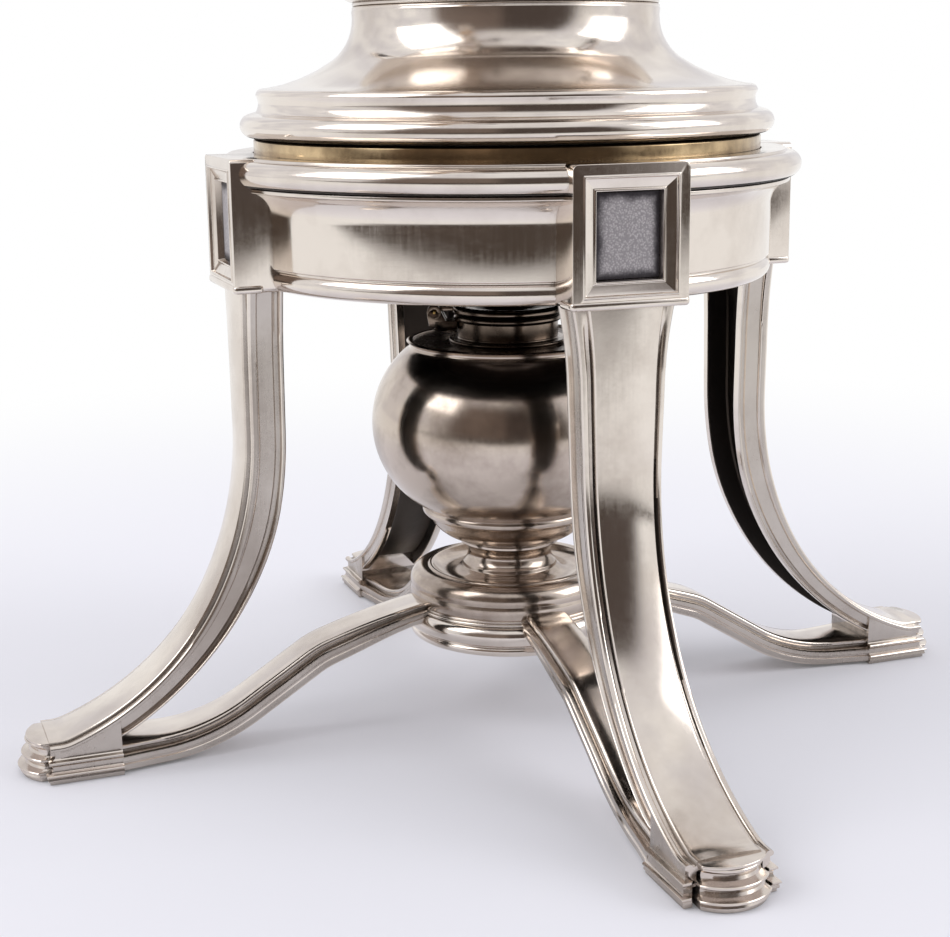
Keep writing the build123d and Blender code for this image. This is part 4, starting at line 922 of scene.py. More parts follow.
@dataclass
class StandTop:
    """The moulded ring, the seat flange in it and the four framed corner blocks, in millimetres."""

    base_z: float = 136.5
    top_z: float = 173.0
    bore_r: float = 72.5
    drum_r: float = 77.4
    cove_r: float = 82.6
    cove_low_z: float = 156.6
    fillet_z: float = 163.9
    roll_z: float = 165.2
    seat_r: float = 74.0
    seat_bore_r: float = 62.0
    seat_step_r: float = 70.5
    seat_z: float = 170.3
    seat_top_z: float = 177.2
    block_face_r: float = 86.6
    block_half_w: float = 16.3
    block_back_r: float = 72.7
    gap_angle: float = 9.6
    lip_h: float = 2.3
    frame_band: float = 2.8
    panel_depth: float = 3.0
    panel_half_w: float = 9.0
    panel_half_h: float = 10.9
    corner_round: float = 1.5
    proud: float = 0.04

    def ring_outline(self) -> list[Point]:
        """The ring's outline, from its bore round the outside.

        Returns:
            Points of radius and height.
        """
        line = Profile((self.bore_r, self.base_z), (self.drum_r - 2.4, self.base_z),
            (self.drum_r - 0.7, self.base_z + 5.2, 1.6), (self.drum_r - 1.0, self.base_z + 5.5),
            (self.drum_r - 1.0, self.base_z + 6.1), (self.drum_r, self.base_z + 6.4),
            (self.drum_r, self.cove_low_z), (self.cove_r - 0.6, self.fillet_z - 0.1, -1.5),
            (self.cove_r, self.fillet_z), (self.cove_r, self.fillet_z + 1.0),
            (self.cove_r - 0.5, self.roll_z), (self.cove_r - 0.4, self.top_z - 0.7, 3.6),
            (self.cove_r - 1.0, self.top_z - 0.6), (self.cove_r - 1.1, self.top_z),
            (self.seat_r + 0.1, self.top_z), (self.seat_r + 0.1, self.seat_z), (self.bore_r, self.seat_z))
        return line.softened(0.3)

    def ring(self, shop: Workshop) -> None:
        """The ring, in four arcs that end inside the blocks."""
        first = turned_part("ring_arc", self.ring_outline(), -45 + self.gap_angle, 45 - self.gap_angle, 56)
        arcs = [first, *(copied(first, f"ring_arc_{turn}", turn) for turn in (90, 180, 270))]
        # Its inner and downward faces take soot and painted shade
        ring = sooted(joined("moulded_ring", arcs), faces_flame)
        shop.dress(ring, SILVER, Body.STAND, "stand_ring")

    def seat(self, shop: Workshop) -> None:
        """The flanged collar that the urn stands on."""
        line = Profile((self.seat_bore_r, self.seat_z), (self.seat_r, self.seat_z),
            (self.seat_r, self.seat_top_z - 1.0), (self.seat_r - 1.0, self.seat_top_z, 0.3),
            (self.seat_step_r, self.seat_top_z), (self.seat_step_r, self.seat_z + 2.5),
            (self.seat_bore_r, self.seat_z + 2.5))
        # Its inner faces take soot and painted shade, and its toned silver carries the painted shade of the
        # gap
        flange = sooted(turned("seat_flange", line.softened(0.25)), faces_flame)
        shop.dress(flange, TONED_AND_SHADED, Body.STAND, "seat_plate")

    def framed_block(self) -> Piece:
        """One block on +X: its face is stepped in to a deep recess, as four mouldings round a panel.

        Returns:
            The block.
        """
        half = self.block_half_w
        low, high = self.base_z - self.proud, self.top_z + self.proud
        piece = block("block", (self.block_back_r, -half, low), (self.block_face_r, half, high))
        bpy.ops.object.mode_set(mode="EDIT")
        select_where(piece, Kind.FACE, lambda face: face.normal.x > 0.9)
        # Each step: how far in from the edge, and how far back into the block
        steps = [(self.frame_band, 0.0), (0.25, -0.35), (0.35, 0.0), (0.25, 0.85), (0.75, 0.25)]
        steps += [(1.75, 0.65), (0.3, -0.3), (0.45, 0.0), (0.35, 2.25)]
        for inset, back in steps:
            bpy.ops.mesh.inset(thickness=inset * MM, depth=-back * MM)
        select_where(piece, Kind.EDGE, lambda edge: abs(edge.verts[0].co.x - edge.verts[1].co.x) > 5.0 * MM)
        bpy.ops.mesh.bevel(offset=self.corner_round * MM, segments=5, affect="EDGES")
        bpy.ops.object.mode_set(mode="OBJECT")
        return bevelled(piece, 0.24, 3, 20)

    def lip(self) -> Piece:
        """The rounded lip under a block's face, on +X."""
        half, low, face = self.block_half_w + 0.45, self.base_z - 2 * self.proud, self.block_face_r
        piece = block("lip", (face - 8.0, -half, low), (face + 0.45, half, low + self.lip_h))
        bpy.ops.object.mode_set(mode="EDIT")

        def upright(edge: bmesh.types.BMEdge) -> bool:
            """Whether an edge is one of the two upright ones in front."""
            a, b = (vertex.co / MM for vertex in edge.verts)
            return abs(a.z - b.z) > 1.0 and a.x > face

        select_where(piece, Kind.EDGE, upright)
        bpy.ops.mesh.bevel(offset=self.corner_round * MM, segments=5, affect="EDGES")
        bpy.ops.object.mode_set(mode="OBJECT")
        return bevelled(piece, 0.85, 4, 50)

    def panel(self) -> Piece:
        """The matted plate in the recess, on +X: cushioned by insets, with its edge marked to be darker.

        Returns:
            The panel.
        """
        half_w, half_h = self.panel_half_w, self.panel_half_h
        front = self.block_face_r - self.panel_depth
        middle_z = (self.base_z + self.top_z) / 2
        low, high = (front - 0.8, -half_w, middle_z - half_h), (front, half_w, middle_z + half_h)
        piece = block("panel", low, high)
        bpy.ops.object.mode_set(mode="EDIT")
        select_where(piece, Kind.FACE, lambda face: face.normal.x > 0.9)
        for inset, rise in ((0.5, 0.14), (0.8, 0.13), (1.1, 0.1), (1.4, 0.07), (1.7, 0.04), (2.0, 0.02)):
            bpy.ops.mesh.inset(thickness=inset * MM, depth=rise * MM)
        bpy.ops.object.mode_set(mode="OBJECT")
        mark = piece.data.attributes.new(MATTED.edge_attribute, "FLOAT", "POINT")
        for vertex in piece.data.vertices:
            rim = max(abs(vertex.co.y) / half_w, abs(vertex.co.z - middle_z * MM) / half_h) / MM
            mark.data[vertex.index].value = min(1.0, rim) ** 2.2
        return piece

    def build(self, shop: Workshop) -> None:
        """Make the stand's top."""
        self.ring(shop)
        self.seat(shop)
        # The blocks' backs are painted black as shade in the bore
        framed = sooted(joined("framed_block", [self.framed_block(), self.lip()]), faces_bore)
        kinds = (
            (framed, "block", SILVER, "corner_block"), (self.panel(), "panel", MATTED, "medallion_panel"))
        shop.repeat(Corner, Body.STAND, *kinds)


@dataclass
class Leg:
    """A channel-section leg with a crowned face between two beads, in millimetres."""

    top_z: float = 136.5
    face_r: float = 84.6
    straight: float = 41.168
    bend_r: float = 101.8
    bend: float = 26.7
    sweep_r: float = 74.9
    sweep: float = 44.3
    landing_r: float = 11.0
    landing_run: float = 2.6
    section_half_w: float = 12.0
    top_half_w: float = 14.6
    shoulder_half_w: float = 12.0
    shoulder_z: float = 112.0
    waist_half_w: float = 11.0
    waist_z: float = 62.0
    ankle_half_w: float = 12.6
    thick_z: float = 76.0
    ankle_z: float = 14.0
    ankle_share: float = 0.58
    face_inset: float = 3.2
    crown: float = 0.85
    groove_depth: float = 3.1
    groove_end: float = 11.0
    bead_top: float = 1.9
    web_inset: float = 1.0
    wall: float = 3.0
    flange_end_r: float = 130.0

    def half_width(self, z: float) -> float:
        """The leg's half width at a height."""
        if z > self.shoulder_z:
            middle = (self.top_z + self.shoulder_z) / 2
            middle_w = self.shoulder_half_w + (self.top_half_w - self.shoulder_half_w) / 4
            places = [
                (self.top_z, self.top_half_w), (middle, middle_w), (self.shoulder_z, self.shoulder_half_w)]
            return quadratic(places, z)
        places = [
            (self.shoulder_z, self.shoulder_half_w), (self.waist_z, self.waist_half_w),
            (0.0, self.ankle_half_w)]
        return quadratic(places, z)

    def half_section(self) -> list[Point]:
        """Half the section, from the face's middle round to the channel's.

        Returns:
            Points across the leg and back from its face.
        """
        w, top = self.section_half_w, self.bead_top
        edge = w - self.face_inset
        line = Profile((0.0, 0.0))
        for share in (0.15, 0.3, 0.45, 0.6, 0.75, 0.88, 0.96):
            line.to(edge * share, self.crown * share**2)
        line.to(edge, 1.25).to(edge + 0.25, self.groove_depth - 0.2).to(edge + 0.65, self.groove_depth)
        line.to(w - 2.1, self.groove_depth).to(w - 1.9, top + 0.55).to(w - 1.55, top + 0.12).to(w - 1.0, top)
        line.to(w - 0.4, top + 0.2).to(w - 0.08, top + 0.75).to(w, top + 1.4).to(w - 0.1, top + 2.2)
        line.to(w - 0.5, top + 2.6).to(w - self.web_inset, top + 2.8).to(w - self.web_inset, 6.8)
        line.to(w - self.web_inset, 8.9).to(w - self.web_inset - 0.55, 9.25)
        line.to(w - self.web_inset - 0.75, 9.9)
        line.to(w - self.web_inset - 0.5, 10.6).to(w - 0.25, 10.85).to(w, 11.15).to(w, 11.7).to(w - 0.3, 12.0)
        line.to(w - self.wall + 0.3, 12.0).to(w - self.wall, 11.7).to(w - self.wall, 5.4)
        line.to(w - self.wall - 0.6, 4.9).to(edge * 0.5, 4.9)
        return line.points

    def station(self, r: float, z: float, slope: float) -> Station:
        """A station on the leg's face: it thins towards the ankle."""
        share = 1 - (1 - self.ankle_share) * eased(self.thick_z, self.ankle_z, z)
        return Station(r, z, slope, self.half_width(z) / self.section_half_w, share)

    def way(self) -> list[Station]:
        """Stations down the leg's face, to where it lands flat on the foot.

        Returns:
            The stations from the top down.
        """
        drops = [0.0, 1.0, 2.4, 4.0, 6.0, 8.5, 11.0, 14.0, 18.0, 22.0, 26.0, 30.0, 35.0]
        places = [self.station(self.face_r, self.top_z - drop, 90.0) for drop in drops]
        r, z, slope = self.face_r, self.top_z - self.straight, 90.0
        places.append(self.station(r, z, slope))
        landing = slope - self.bend - self.sweep
        arcs = ((self.bend_r, self.bend, 14), (self.sweep_r, self.sweep, 22), (self.landing_r, landing, 5))
        for radius, turn, steps in arcs:
            arc = bend(r, z, radius, slope, -turn, steps)
            places.extend(self.station(*place) for place in arc)
            r, z, slope = arc[-1]
        places.append(self.station(r + self.landing_run, z, slope))
        return places

    def channel(self) -> Piece:
        """The whole leg on +X, its grooves running out below the block.

        Returns:
            The leg.
        """
        piece = swept("leg_channel", mirrored(self.half_section()), self.way())
        select_only(piece)
        bpy.ops.object.mode_set(mode="EDIT")
        bead = Vector((self.face_r - self.bead_top, 0, 0)) * MM
        for station in self.way():
            filled = eased(self.top_z - self.groove_end, self.top_z - 2.0, station.z)
            if filled == 0.0:
                break
            reach = (self.section_half_w - 1.3) * station.wide
            low, high = self.face_r - self.groove_depth - 0.1, self.face_r - self.bead_top - 0.3

            def in_groove(vertex: bmesh.types.BMVert) -> bool:
                """Whether a vertex is on this station's groove or the face's edge beside it."""
                co = vertex.co / MM
                return abs(co.z - station.z) < 0.01 and low < co.x < high and abs(co.y) < reach

            select_where(piece, Kind.VERT, in_groove)
            bpy.ops.transform.resize(value=(1 - 0.96 * filled, 1, 1), center_override=bead)
        for station in self.way():
            sunk = eased(self.flange_end_r - 6.0, self.flange_end_r, station.x)
            if sunk == 0.0:
                continue
            slope, place = radians(station.slope), Vector((station.x, 0, station.z))
            along, inwards = Vector((cos(slope), 0, -sin(slope))), Vector((-sin(slope), 0, -cos(slope)))
            deep, wide = 8.0 * station.deep, (self.section_half_w - 2.2) * station.wide

            def on_flange(vertex: bmesh.types.BMVert) -> bool:
                """Whether a vertex is on this station's rear flange."""
                co = vertex.co / MM - place
                return abs(co.dot(along)) < 0.02 and co.dot(inwards) > deep and abs(co.y) > wide

            select_where(piece, Kind.VERT, on_flange)
            bpy.ops.transform.resize(value=(1, 1 - 0.09 * sunk, 1), center_override=(0, 0, 0))
        bpy.ops.object.mode_set(mode="OBJECT")
        return piece

    def build(self, shop: Workshop) -> None:
        """Make the four legs."""
        # The channel is painted black as shade; the webs are made greyer
        channel = sooted(self.channel(), in_channel)
        shop.repeat(Corner, Body.STAND, (channel, "leg", SILVER, "leg"), sharp=38.0)


@dataclass
class Foot:
    """A stepped foot: a shallow round bay between square corners, in millimetres."""

    back_r: float = 124.0
    ankle_r: float = 142.6
    corner_r: float = 145.8
    half_w: float = 13.6
    bay_out: float = 9.8
    bay_r: float = 12.8
    bay_half_w: float = 9.8
    notch_w: float = 1.2
    notch_depth: float = 2.4
    web_half_w: float = 11.5
    tier_top: float = 10.35
    middle_top: float = 6.5
    lip_from_r: float = 140.6
    lip_half_w: float = 8.8
    lip_top_z: float = 11.08
    cheek_end_r: float = 141.4
    cheek_back: float = 3.9
    lip_spread: float = 40.0
    lip_back: float = 2.7

    def outline(self) -> list[Point]:
        """The lowest tier's outline: a square block with notched corners and a round bay.

        Returns:
            Points of radius and place across.
        """
        bay_x = self.ankle_r + self.bay_out - self.bay_r
        notch_x, notch_y = self.corner_r - self.notch_depth, self.bay_half_w + self.notch_w
        side = [(self.back_r, -self.half_w), (self.corner_r, -self.half_w), (self.corner_r, -notch_y)]
        side += [(notch_x, -notch_y), (notch_x, -self.bay_half_w)]
        spread = asin(self.bay_half_w / self.bay_r)
        arc = [spread * (step / 14 - 1) for step in range(29)]
        bay = [(bay_x + self.bay_r * cos(a), self.bay_r * sin(a)) for a in arc]
        return [*side, *bay, *((x, -y) for x, y in reversed(side))]

    def levels(self) -> list[tuple[float, float, float]]:
        """The foot's mouldings upwards: thin edges over hollows, on a small plinth.

        Returns:
            Height, the front corner's radius and half the width at each level.
        """
        plinth = [(0.0, 144.9, 12.7), (0.85, 144.9, 12.7)]
        low = [
            (0.95, 145.35, 13.15), (1.3, 145.45, 13.25), (1.9, 145.3, 13.1), (2.15, 145.55, 13.35),
            (2.35, 145.8, 13.6)]
        low += [(2.65, 145.8, 13.6), (2.85, 145.65, 13.45), (2.95, 145.35, 13.15)]
        middle = [
            (3.15, 144.7, 12.8), (3.5, 144.1, 12.4), (4.2, 143.8, 12.2), (5.0, 143.9, 12.3),
            (5.55, 144.5, 12.7)]
        middle += [
            (5.75, 144.88, 12.98), (5.95, 144.9, 13.0), (6.2, 144.9, 13.0), (6.4, 144.75, 12.85),
            (6.5, 144.45, 12.5)]
        web = self.web_half_w - 0.12
        top = [(6.7, 143.8, 11.8), (7.1, 143.2, web), (7.9, 142.9, web), (8.8, 143.0, web), (9.4, 143.6, web)]
        top += [
            (9.6, 143.97, web), (9.8, 144.0, web), (10.05, 144.0, web), (10.25, 143.85, 11.4),
            (self.tier_top, 143.5, 11.2)]
        return [*plinth, *low, *middle, *top]

    def tiers(self) -> Piece:
        """The tiers on +X: the outline extruded upwards, and drawn in or out at each level.

        Returns:
            The tiers.
        """
        piece = draw_line("tiers", [Vector((x, y, 0)) * MM for x, y in self.outline()])
        fill_line()
        z, reach, wide = 0.0, self.corner_r, self.half_w
        for here, corner, half in self.levels():
            if here > z:
                extrude(Vector((0, 0, here - z)) * MM)
            growth = ((corner - self.back_r) / (reach - self.back_r), half / wide, 1.0)
            bpy.ops.transform.resize(value=growth, center_override=Vector((self.back_r, 0, here)) * MM)
            z, reach, wide = here, corner, half
        return close_shell(piece)

    def lip(self) -> Piece:
        """The bay's uppermost step on +X, level with the leg's face, which runs out on it.

        Returns:
            The lip.
        """
        radius = self.lip_half_w / sin(radians(self.lip_spread))
        middle = self.ankle_r + self.bay_out - self.lip_back - radius
        arc = [radians(self.lip_spread * (step / 12 - 1)) for step in range(25)]
        outline = [
            (self.lip_from_r, -self.lip_half_w), *((middle + radius * cos(a), radius * sin(a)) for a in arc)]
        outline.append((self.lip_from_r, self.lip_half_w))
        low = self.tier_top - 0.15
        piece = extruded(
            "lip", [Vector((x, y, low)) for x, y in outline], Vector((0, 0, self.lip_top_z - low)))
        return bevelled(piece, 0.3, 3, 50)

    def cheeks(self, leg: Leg) -> Piece:
        """The foot's upper part, whose sides run on from the leg's webs up to its beads.

        Args:
            leg: The leg that lands on the foot.

        Returns:
            The part.
        """
        line = []
        for station in leg.way():
            back, slope = self.cheek_back * station.deep, radians(station.slope)
            place = (station.x - back * sin(slope), station.z - back * cos(slope))
            if self.back_r < place[0] < self.cheek_end_r:
                line.append(place)
        low, half = self.middle_top - 0.5, self.web_half_w
        (x, z), (next_x, next_z) = line[:2]
        first = z + (x - self.back_r) * (z - next_z) / (next_x - x)
        outline = [(self.back_r, low), (self.back_r, first), *line]
        outline += [(self.cheek_end_r, line[-1][1]), (self.cheek_end_r, low)]
        return extruded("cheeks", [Vector((x, -half, z)) for x, z in outline], Vector((0, 2 * half, 0)))

    def build(self, shop: Workshop) -> None:
        """Make the four feet."""
        cheeks = bevelled(self.cheeks(Leg()), 0.2, 2, 50)
        whole = sooted(joined("foot", [self.tiers(), self.lip(), cheeks]), web_share)
        shop.repeat(Corner, Body.STAND, (whole, "foot", SILVER, "foot"), sharp=26.0)


@dataclass
class Stretcher:
    """An S-curved bar with a top moulding over a groove, from the cradle out to a foot, in millimetres."""

    start_r: float = 30.9
    way_r: float = 29.7
    thick_r: float = 62.0
    end_r: float = 124.2
    head_z: float = 38.3
    head_t: float = 5.5
    foot_z: float = 8.2
    foot_t: float = 7.6
    slope: float = 32.0
    falls: tuple[Point, ...] = ((230.0, 8.0), (30.0, 14.0))
    bend_r: float = 50.0
    half_w: float = 8.0
    foot_half_w: float = 12.4
    flare_run: float = 42.0

    def way(self) -> list[Station]:
        """Stations along the bar's top.

        Returns:
            The stations from the cradle outwards.
        """
        first = self.slope - sum(turn for _, turn in self.falls)
        drop = self.bend_r * (1 - cos(radians(self.slope)))
        at = first
        for radius, turn in self.falls:
            drop += radius * (cos(radians(at)) - cos(radians(at + turn)))
            at += turn
        slant = (self.head_z - self.foot_z - drop) / sin(radians(self.slope))
        places = [(self.way_r, self.head_z, first)]
        for radius, turn in self.falls:
            places += bend(*places[-1][:2], radius, places[-1][2], turn, 8)
        r, z, at = places[-1]
        for step in range(1, 5):
            run = slant * step / 4
            places.append((r + run * cos(radians(at)), z - run * sin(radians(at)), at))
        places += bend(*places[-1][:2], self.bend_r, at, -at, 14)
        r, z, _ = places[-1]
        places += [(r + (self.end_r - r) * step / 6, z, 0.0) for step in range(1, 7)]
        flare_x = self.end_r - self.flare_run
        stations = []
        for r, z, slope in places:
            thick = 1 + (self.foot_t / self.head_t - 1) * eased(self.start_r, self.thick_r, r)
            spread = max(0.0, (r - flare_x) / self.flare_run)
            stations.append(Station(r, z, slope, 1 + (self.foot_half_w / self.half_w - 1) * spread**2, thick))
        return stations

    def half_section(self) -> list[Point]:
        """Half the section, from the top's middle round to the underside's.

        Returns:
            Points across the bar and down from its top.
        """
        w, t = self.half_w, self.head_t
        line = Profile((0.0, 0.0), (w * 0.35, 0.03), (w - 2.5, 0.12), (w - 1.9, 0.3), (w - 1.55, 0.65),
            (w - 1.5, 1.1), (w - 1.75, 1.4), (w - 2.1, 1.5), (w - 2.1, 1.9), (w - 1.5, 2.0), (w - 0.6, 2.1),
            (w - 0.1, 2.35), (w, 2.75), (w - 0.02, 3.3), (w - 0.35, 3.5), (w - 0.35, 3.8), (w, 4.05),
            (w - 0.05, t - 0.35), (w - 0.4, t), (w * 0.5, t))
        return line.points

    def build(self, shop: Workshop) -> None:
        """Make the four stretchers."""
        bar = sooted(swept("stretcher", mirrored(self.half_section()), self.way()), web_share)
        shop.repeat(Corner, Body.STAND, (bar, "stretcher", SILVER, "stretcher"), sharp=36.0)


@dataclass
class Cradle:
    """The moulded ring that the stretchers carry, in millimetres."""

    outer_r: float = 31.2
    bore_r: float = 29.7
    flange_r: float = 21.0
    top_z: float = 36.4
    floor_z: float = 30.0
    band_z: float = 28.4
    base_z: float = 25.4

    def build(self, shop: Workshop) -> None:
        """Make the cradle ring: a double rim, a full band and a smaller one below."""
        line = Profile((self.bore_r - 2.5, self.base_z), (self.outer_r - 1.4, self.base_z),
            (self.outer_r - 0.5, self.band_z - 0.35, 0.9), (self.outer_r - 0.6, self.band_z),
            (self.outer_r, self.band_z + 0.3), (self.outer_r - 0.1, 34.5, 1.6), (self.outer_r - 0.75, 34.65),
            (self.outer_r - 0.7, 35.6, 0.45), (self.outer_r - 1.0, 35.7),
            (self.bore_r + 0.1, self.top_z - 0.05, 0.35), (self.bore_r, self.floor_z),
            (self.flange_r, self.floor_z), (self.flange_r, self.floor_z - 2.5),
            (self.bore_r - 2.5, self.floor_z - 2.5))
        shop.dress(turned("lamp_cradle", line.softened(0.22)), SILVER, Body.STAND, "cradle_ring")


# Spirit lamp

@dataclass
class Lamp:
    """The spirit lamp: foot, bowl, deck, wick and its holder, in millimetres."""

    base_z: float = 30.3
    rim_z: float = 35.9
    dish_z: float = 46.5
    neck_z: float = 45.2
    joint_z: float = 54.7
    foot_r: float = 28.7
    bulb_r: float = 31.4
    dish_r: float = 24.5
    bowl_r: float = 41.6
    bowl_arc_r: float = 29.0
    bowl_mid_z: float = 91.2
    mouth_r: float = 30.0
    mouth_z: float = 114.4
    bowl_top_z: float = 116.6
    low_r: float = 27.0
    low_z: float = 66.03
    step_z: float = 62.83
    tail_r: float = 15.2
    wall: float = 1.3
    deck_z: float = 116.1
    deck_r: float = 28.65
    collar_r: float = 15.2
    collar_bore_r: float = 13.6
    collar_top_z: float = 124.5
    wick_r: float = 7.05
    wick_tube_r: float = 8.0
    tube_base_z: float = 101.3
    tube_top_z: float = 122.3
    wick_top_z: float = 123.7
    wick_length: float = 40.0
    strands: int = 14

    def foot(self, shop: Workshop) -> None:
        """The domed foot: a bulb with a second soft ridge, a dished top and a spool neck."""
        line = Profile((24.0, self.base_z), (self.foot_r, self.base_z), (self.foot_r, self.rim_z - 1.4),
            (self.foot_r + 0.5, self.rim_z - 1.0), (self.bulb_r - 0.7, 40.7, 0.9),
            (self.dish_r + 0.9, self.dish_z - 0.4, 2.2), (self.dish_r - 0.8, self.dish_z - 0.3, 0.45),
            (15.4, self.neck_z + 0.6, -1.7), (14.6, self.neck_z + 0.9), (14.4, self.neck_z + 1.9),
            (self.tail_r - 0.8, self.joint_z - 1.3, -1.5), (self.tail_r, self.joint_z - 1.0),
            (self.tail_r, self.joint_z), (6.0, self.joint_z), (6.0, self.base_z + 9.0),
            (12.0, self.base_z + 9.0))
        shop.dress(turned("dished_foot", line.softened(0.3)), LAMP_SILVER, Body.BURNER, "lamp_foot")

    def bowl(self, shop: Workshop) -> None:
        """The round fuel bowl with a small lip and a stepped moulding under it."""
        centre_r = self.bowl_r - self.bowl_arc_r
        line = Profile((0.0, self.joint_z), (self.tail_r, self.joint_z),
            (self.tail_r + 0.9, self.joint_z + 0.7), (self.low_r - 2.6, self.step_z - 0.9, 1.3),
            (self.low_r - 2.0, self.step_z - 0.2), (self.low_r - 0.6, self.low_z - 0.7, 0.9),
            (self.low_r - 0.1, self.low_z - 0.1))
        low = atan2(self.low_z - self.bowl_mid_z, self.low_r - centre_r)
        high = atan2(self.mouth_z - self.bowl_mid_z, self.mouth_r - centre_r)
        for step in range(1, 41):
            angle = low + (high - low) * step / 40
            line.to(centre_r + self.bowl_arc_r * cos(angle), self.bowl_mid_z + self.bowl_arc_r * sin(angle))
        line.bow(self.mouth_r + 0.7, self.bowl_top_z - 0.3, -0.5)
        line.bow(self.mouth_r - self.wall, self.bowl_top_z, 0.3)
        line.to(self.mouth_r - self.wall, self.mouth_z)
        for step in range(0, 25):
            angle = high + (low - high) * step / 24
            reach = self.bowl_arc_r - self.wall
            line.to(centre_r + reach * cos(angle), self.bowl_mid_z + reach * sin(angle))
        line.to(13.5, self.step_z).to(0.0, self.step_z)
        points = line.softened(0.25, closed=False)
        shop.dress(turned("fuel_bowl", points), LAMP_SILVER, Body.BURNER, "lamp_bowl")

    def deck(self, shop: Workshop) -> None:
        """The plate that closes the bowl, dished a little towards the collar."""
        line = Profile((8.1, self.deck_z - 1.2), (self.deck_r, self.deck_z - 1.2), (self.deck_r, self.deck_z),
            (self.deck_r - 1.2, self.deck_z), (18.2, self.deck_z - 0.2, -0.35), (17.6, self.deck_z),
            (8.1, self.deck_z))
        shop.dress(turned("bowl_deck", line.softened(0.15), 96), FIRE_STAINED_AND_SHADED, Body.BURNER, "lamp_deck")

    def collar(self, shop: Workshop) -> None:
        """The collar round the wick, with a rolled rim and a bead at its foot."""
        line = Profile((self.collar_bore_r, self.deck_z), (17.5, self.deck_z),
            (17.3, self.deck_z + 0.8, 0.35), (self.collar_r + 0.5, self.deck_z + 0.85),
            (self.collar_r, self.deck_z + 1.6, -0.3), (self.collar_r, self.collar_top_z - 2.3),
            (self.collar_r + 0.1, self.collar_top_z - 0.1, 1.05), (self.collar_bore_r, self.collar_top_z))
        shop.dress(
            turned("wick_collar_ring", line.softened(0.25), 112), FIRE_STAINED_AND_SHADED, Body.BURNER, "wick_collar")

    def wick(self, shop: Workshop) -> None:
        """The wick of twisted strands, and the brass tube that holds it."""
        bore, outer = self.wick_tube_r - 0.85, self.wick_tube_r
        line = Profile((bore, self.tube_base_z), (outer, self.tube_base_z), (outer, self.deck_z),
            (self.collar_bore_r - 0.05, self.deck_z), (self.collar_bore_r - 0.05, self.deck_z + 0.9),
            (outer + 0.2, self.deck_z + 0.9), (outer, self.deck_z + 1.4, -0.15),
            (outer, self.tube_top_z - 0.3), (bore, self.tube_top_z - 0.2, 0.25))
        shop.dress(turned("wick_holder", line.softened(0.15), 80), BRASS, Body.BURNER, "wick_tube")
        sides, steps, length = 112, 24, self.wick_length
        outline = []
        for side in range(sides):
            angle = 2 * pi * side / sides
            r = self.wick_r - 0.3 + 0.25 * cos(self.strands * angle)
            outline.append(Vector((r * cos(angle), r * sin(angle), self.wick_top_z - length)) * MM)
        wick = draw_line("twisted_wick", outline)
        fill_line()
        crown = [sqrt(1 - 0.9 * eased(0.93, 1.0, step / steps) ** 2) for step in range(steps + 1)]
        for step in range(steps):
            extrude(Vector((0, 0, length / steps * MM)))
            turn_selected(-12.0, "Z", Vector((0, 0, 0)))
            size = crown[step + 1] / crown[step]
            bpy.ops.transform.resize(value=(size, size, 1), center_override=(0, 0, 0))
        shop.dress(close_shell(wick), COTTON, Body.BURNER, "wick", sharp=60.0)

    def build(self, shop: Workshop) -> None:
        """Make the lamp."""
        self.foot(shop)
        self.bowl(shop)
        self.deck(shop)
        self.collar(shop)
        self.wick(shop)


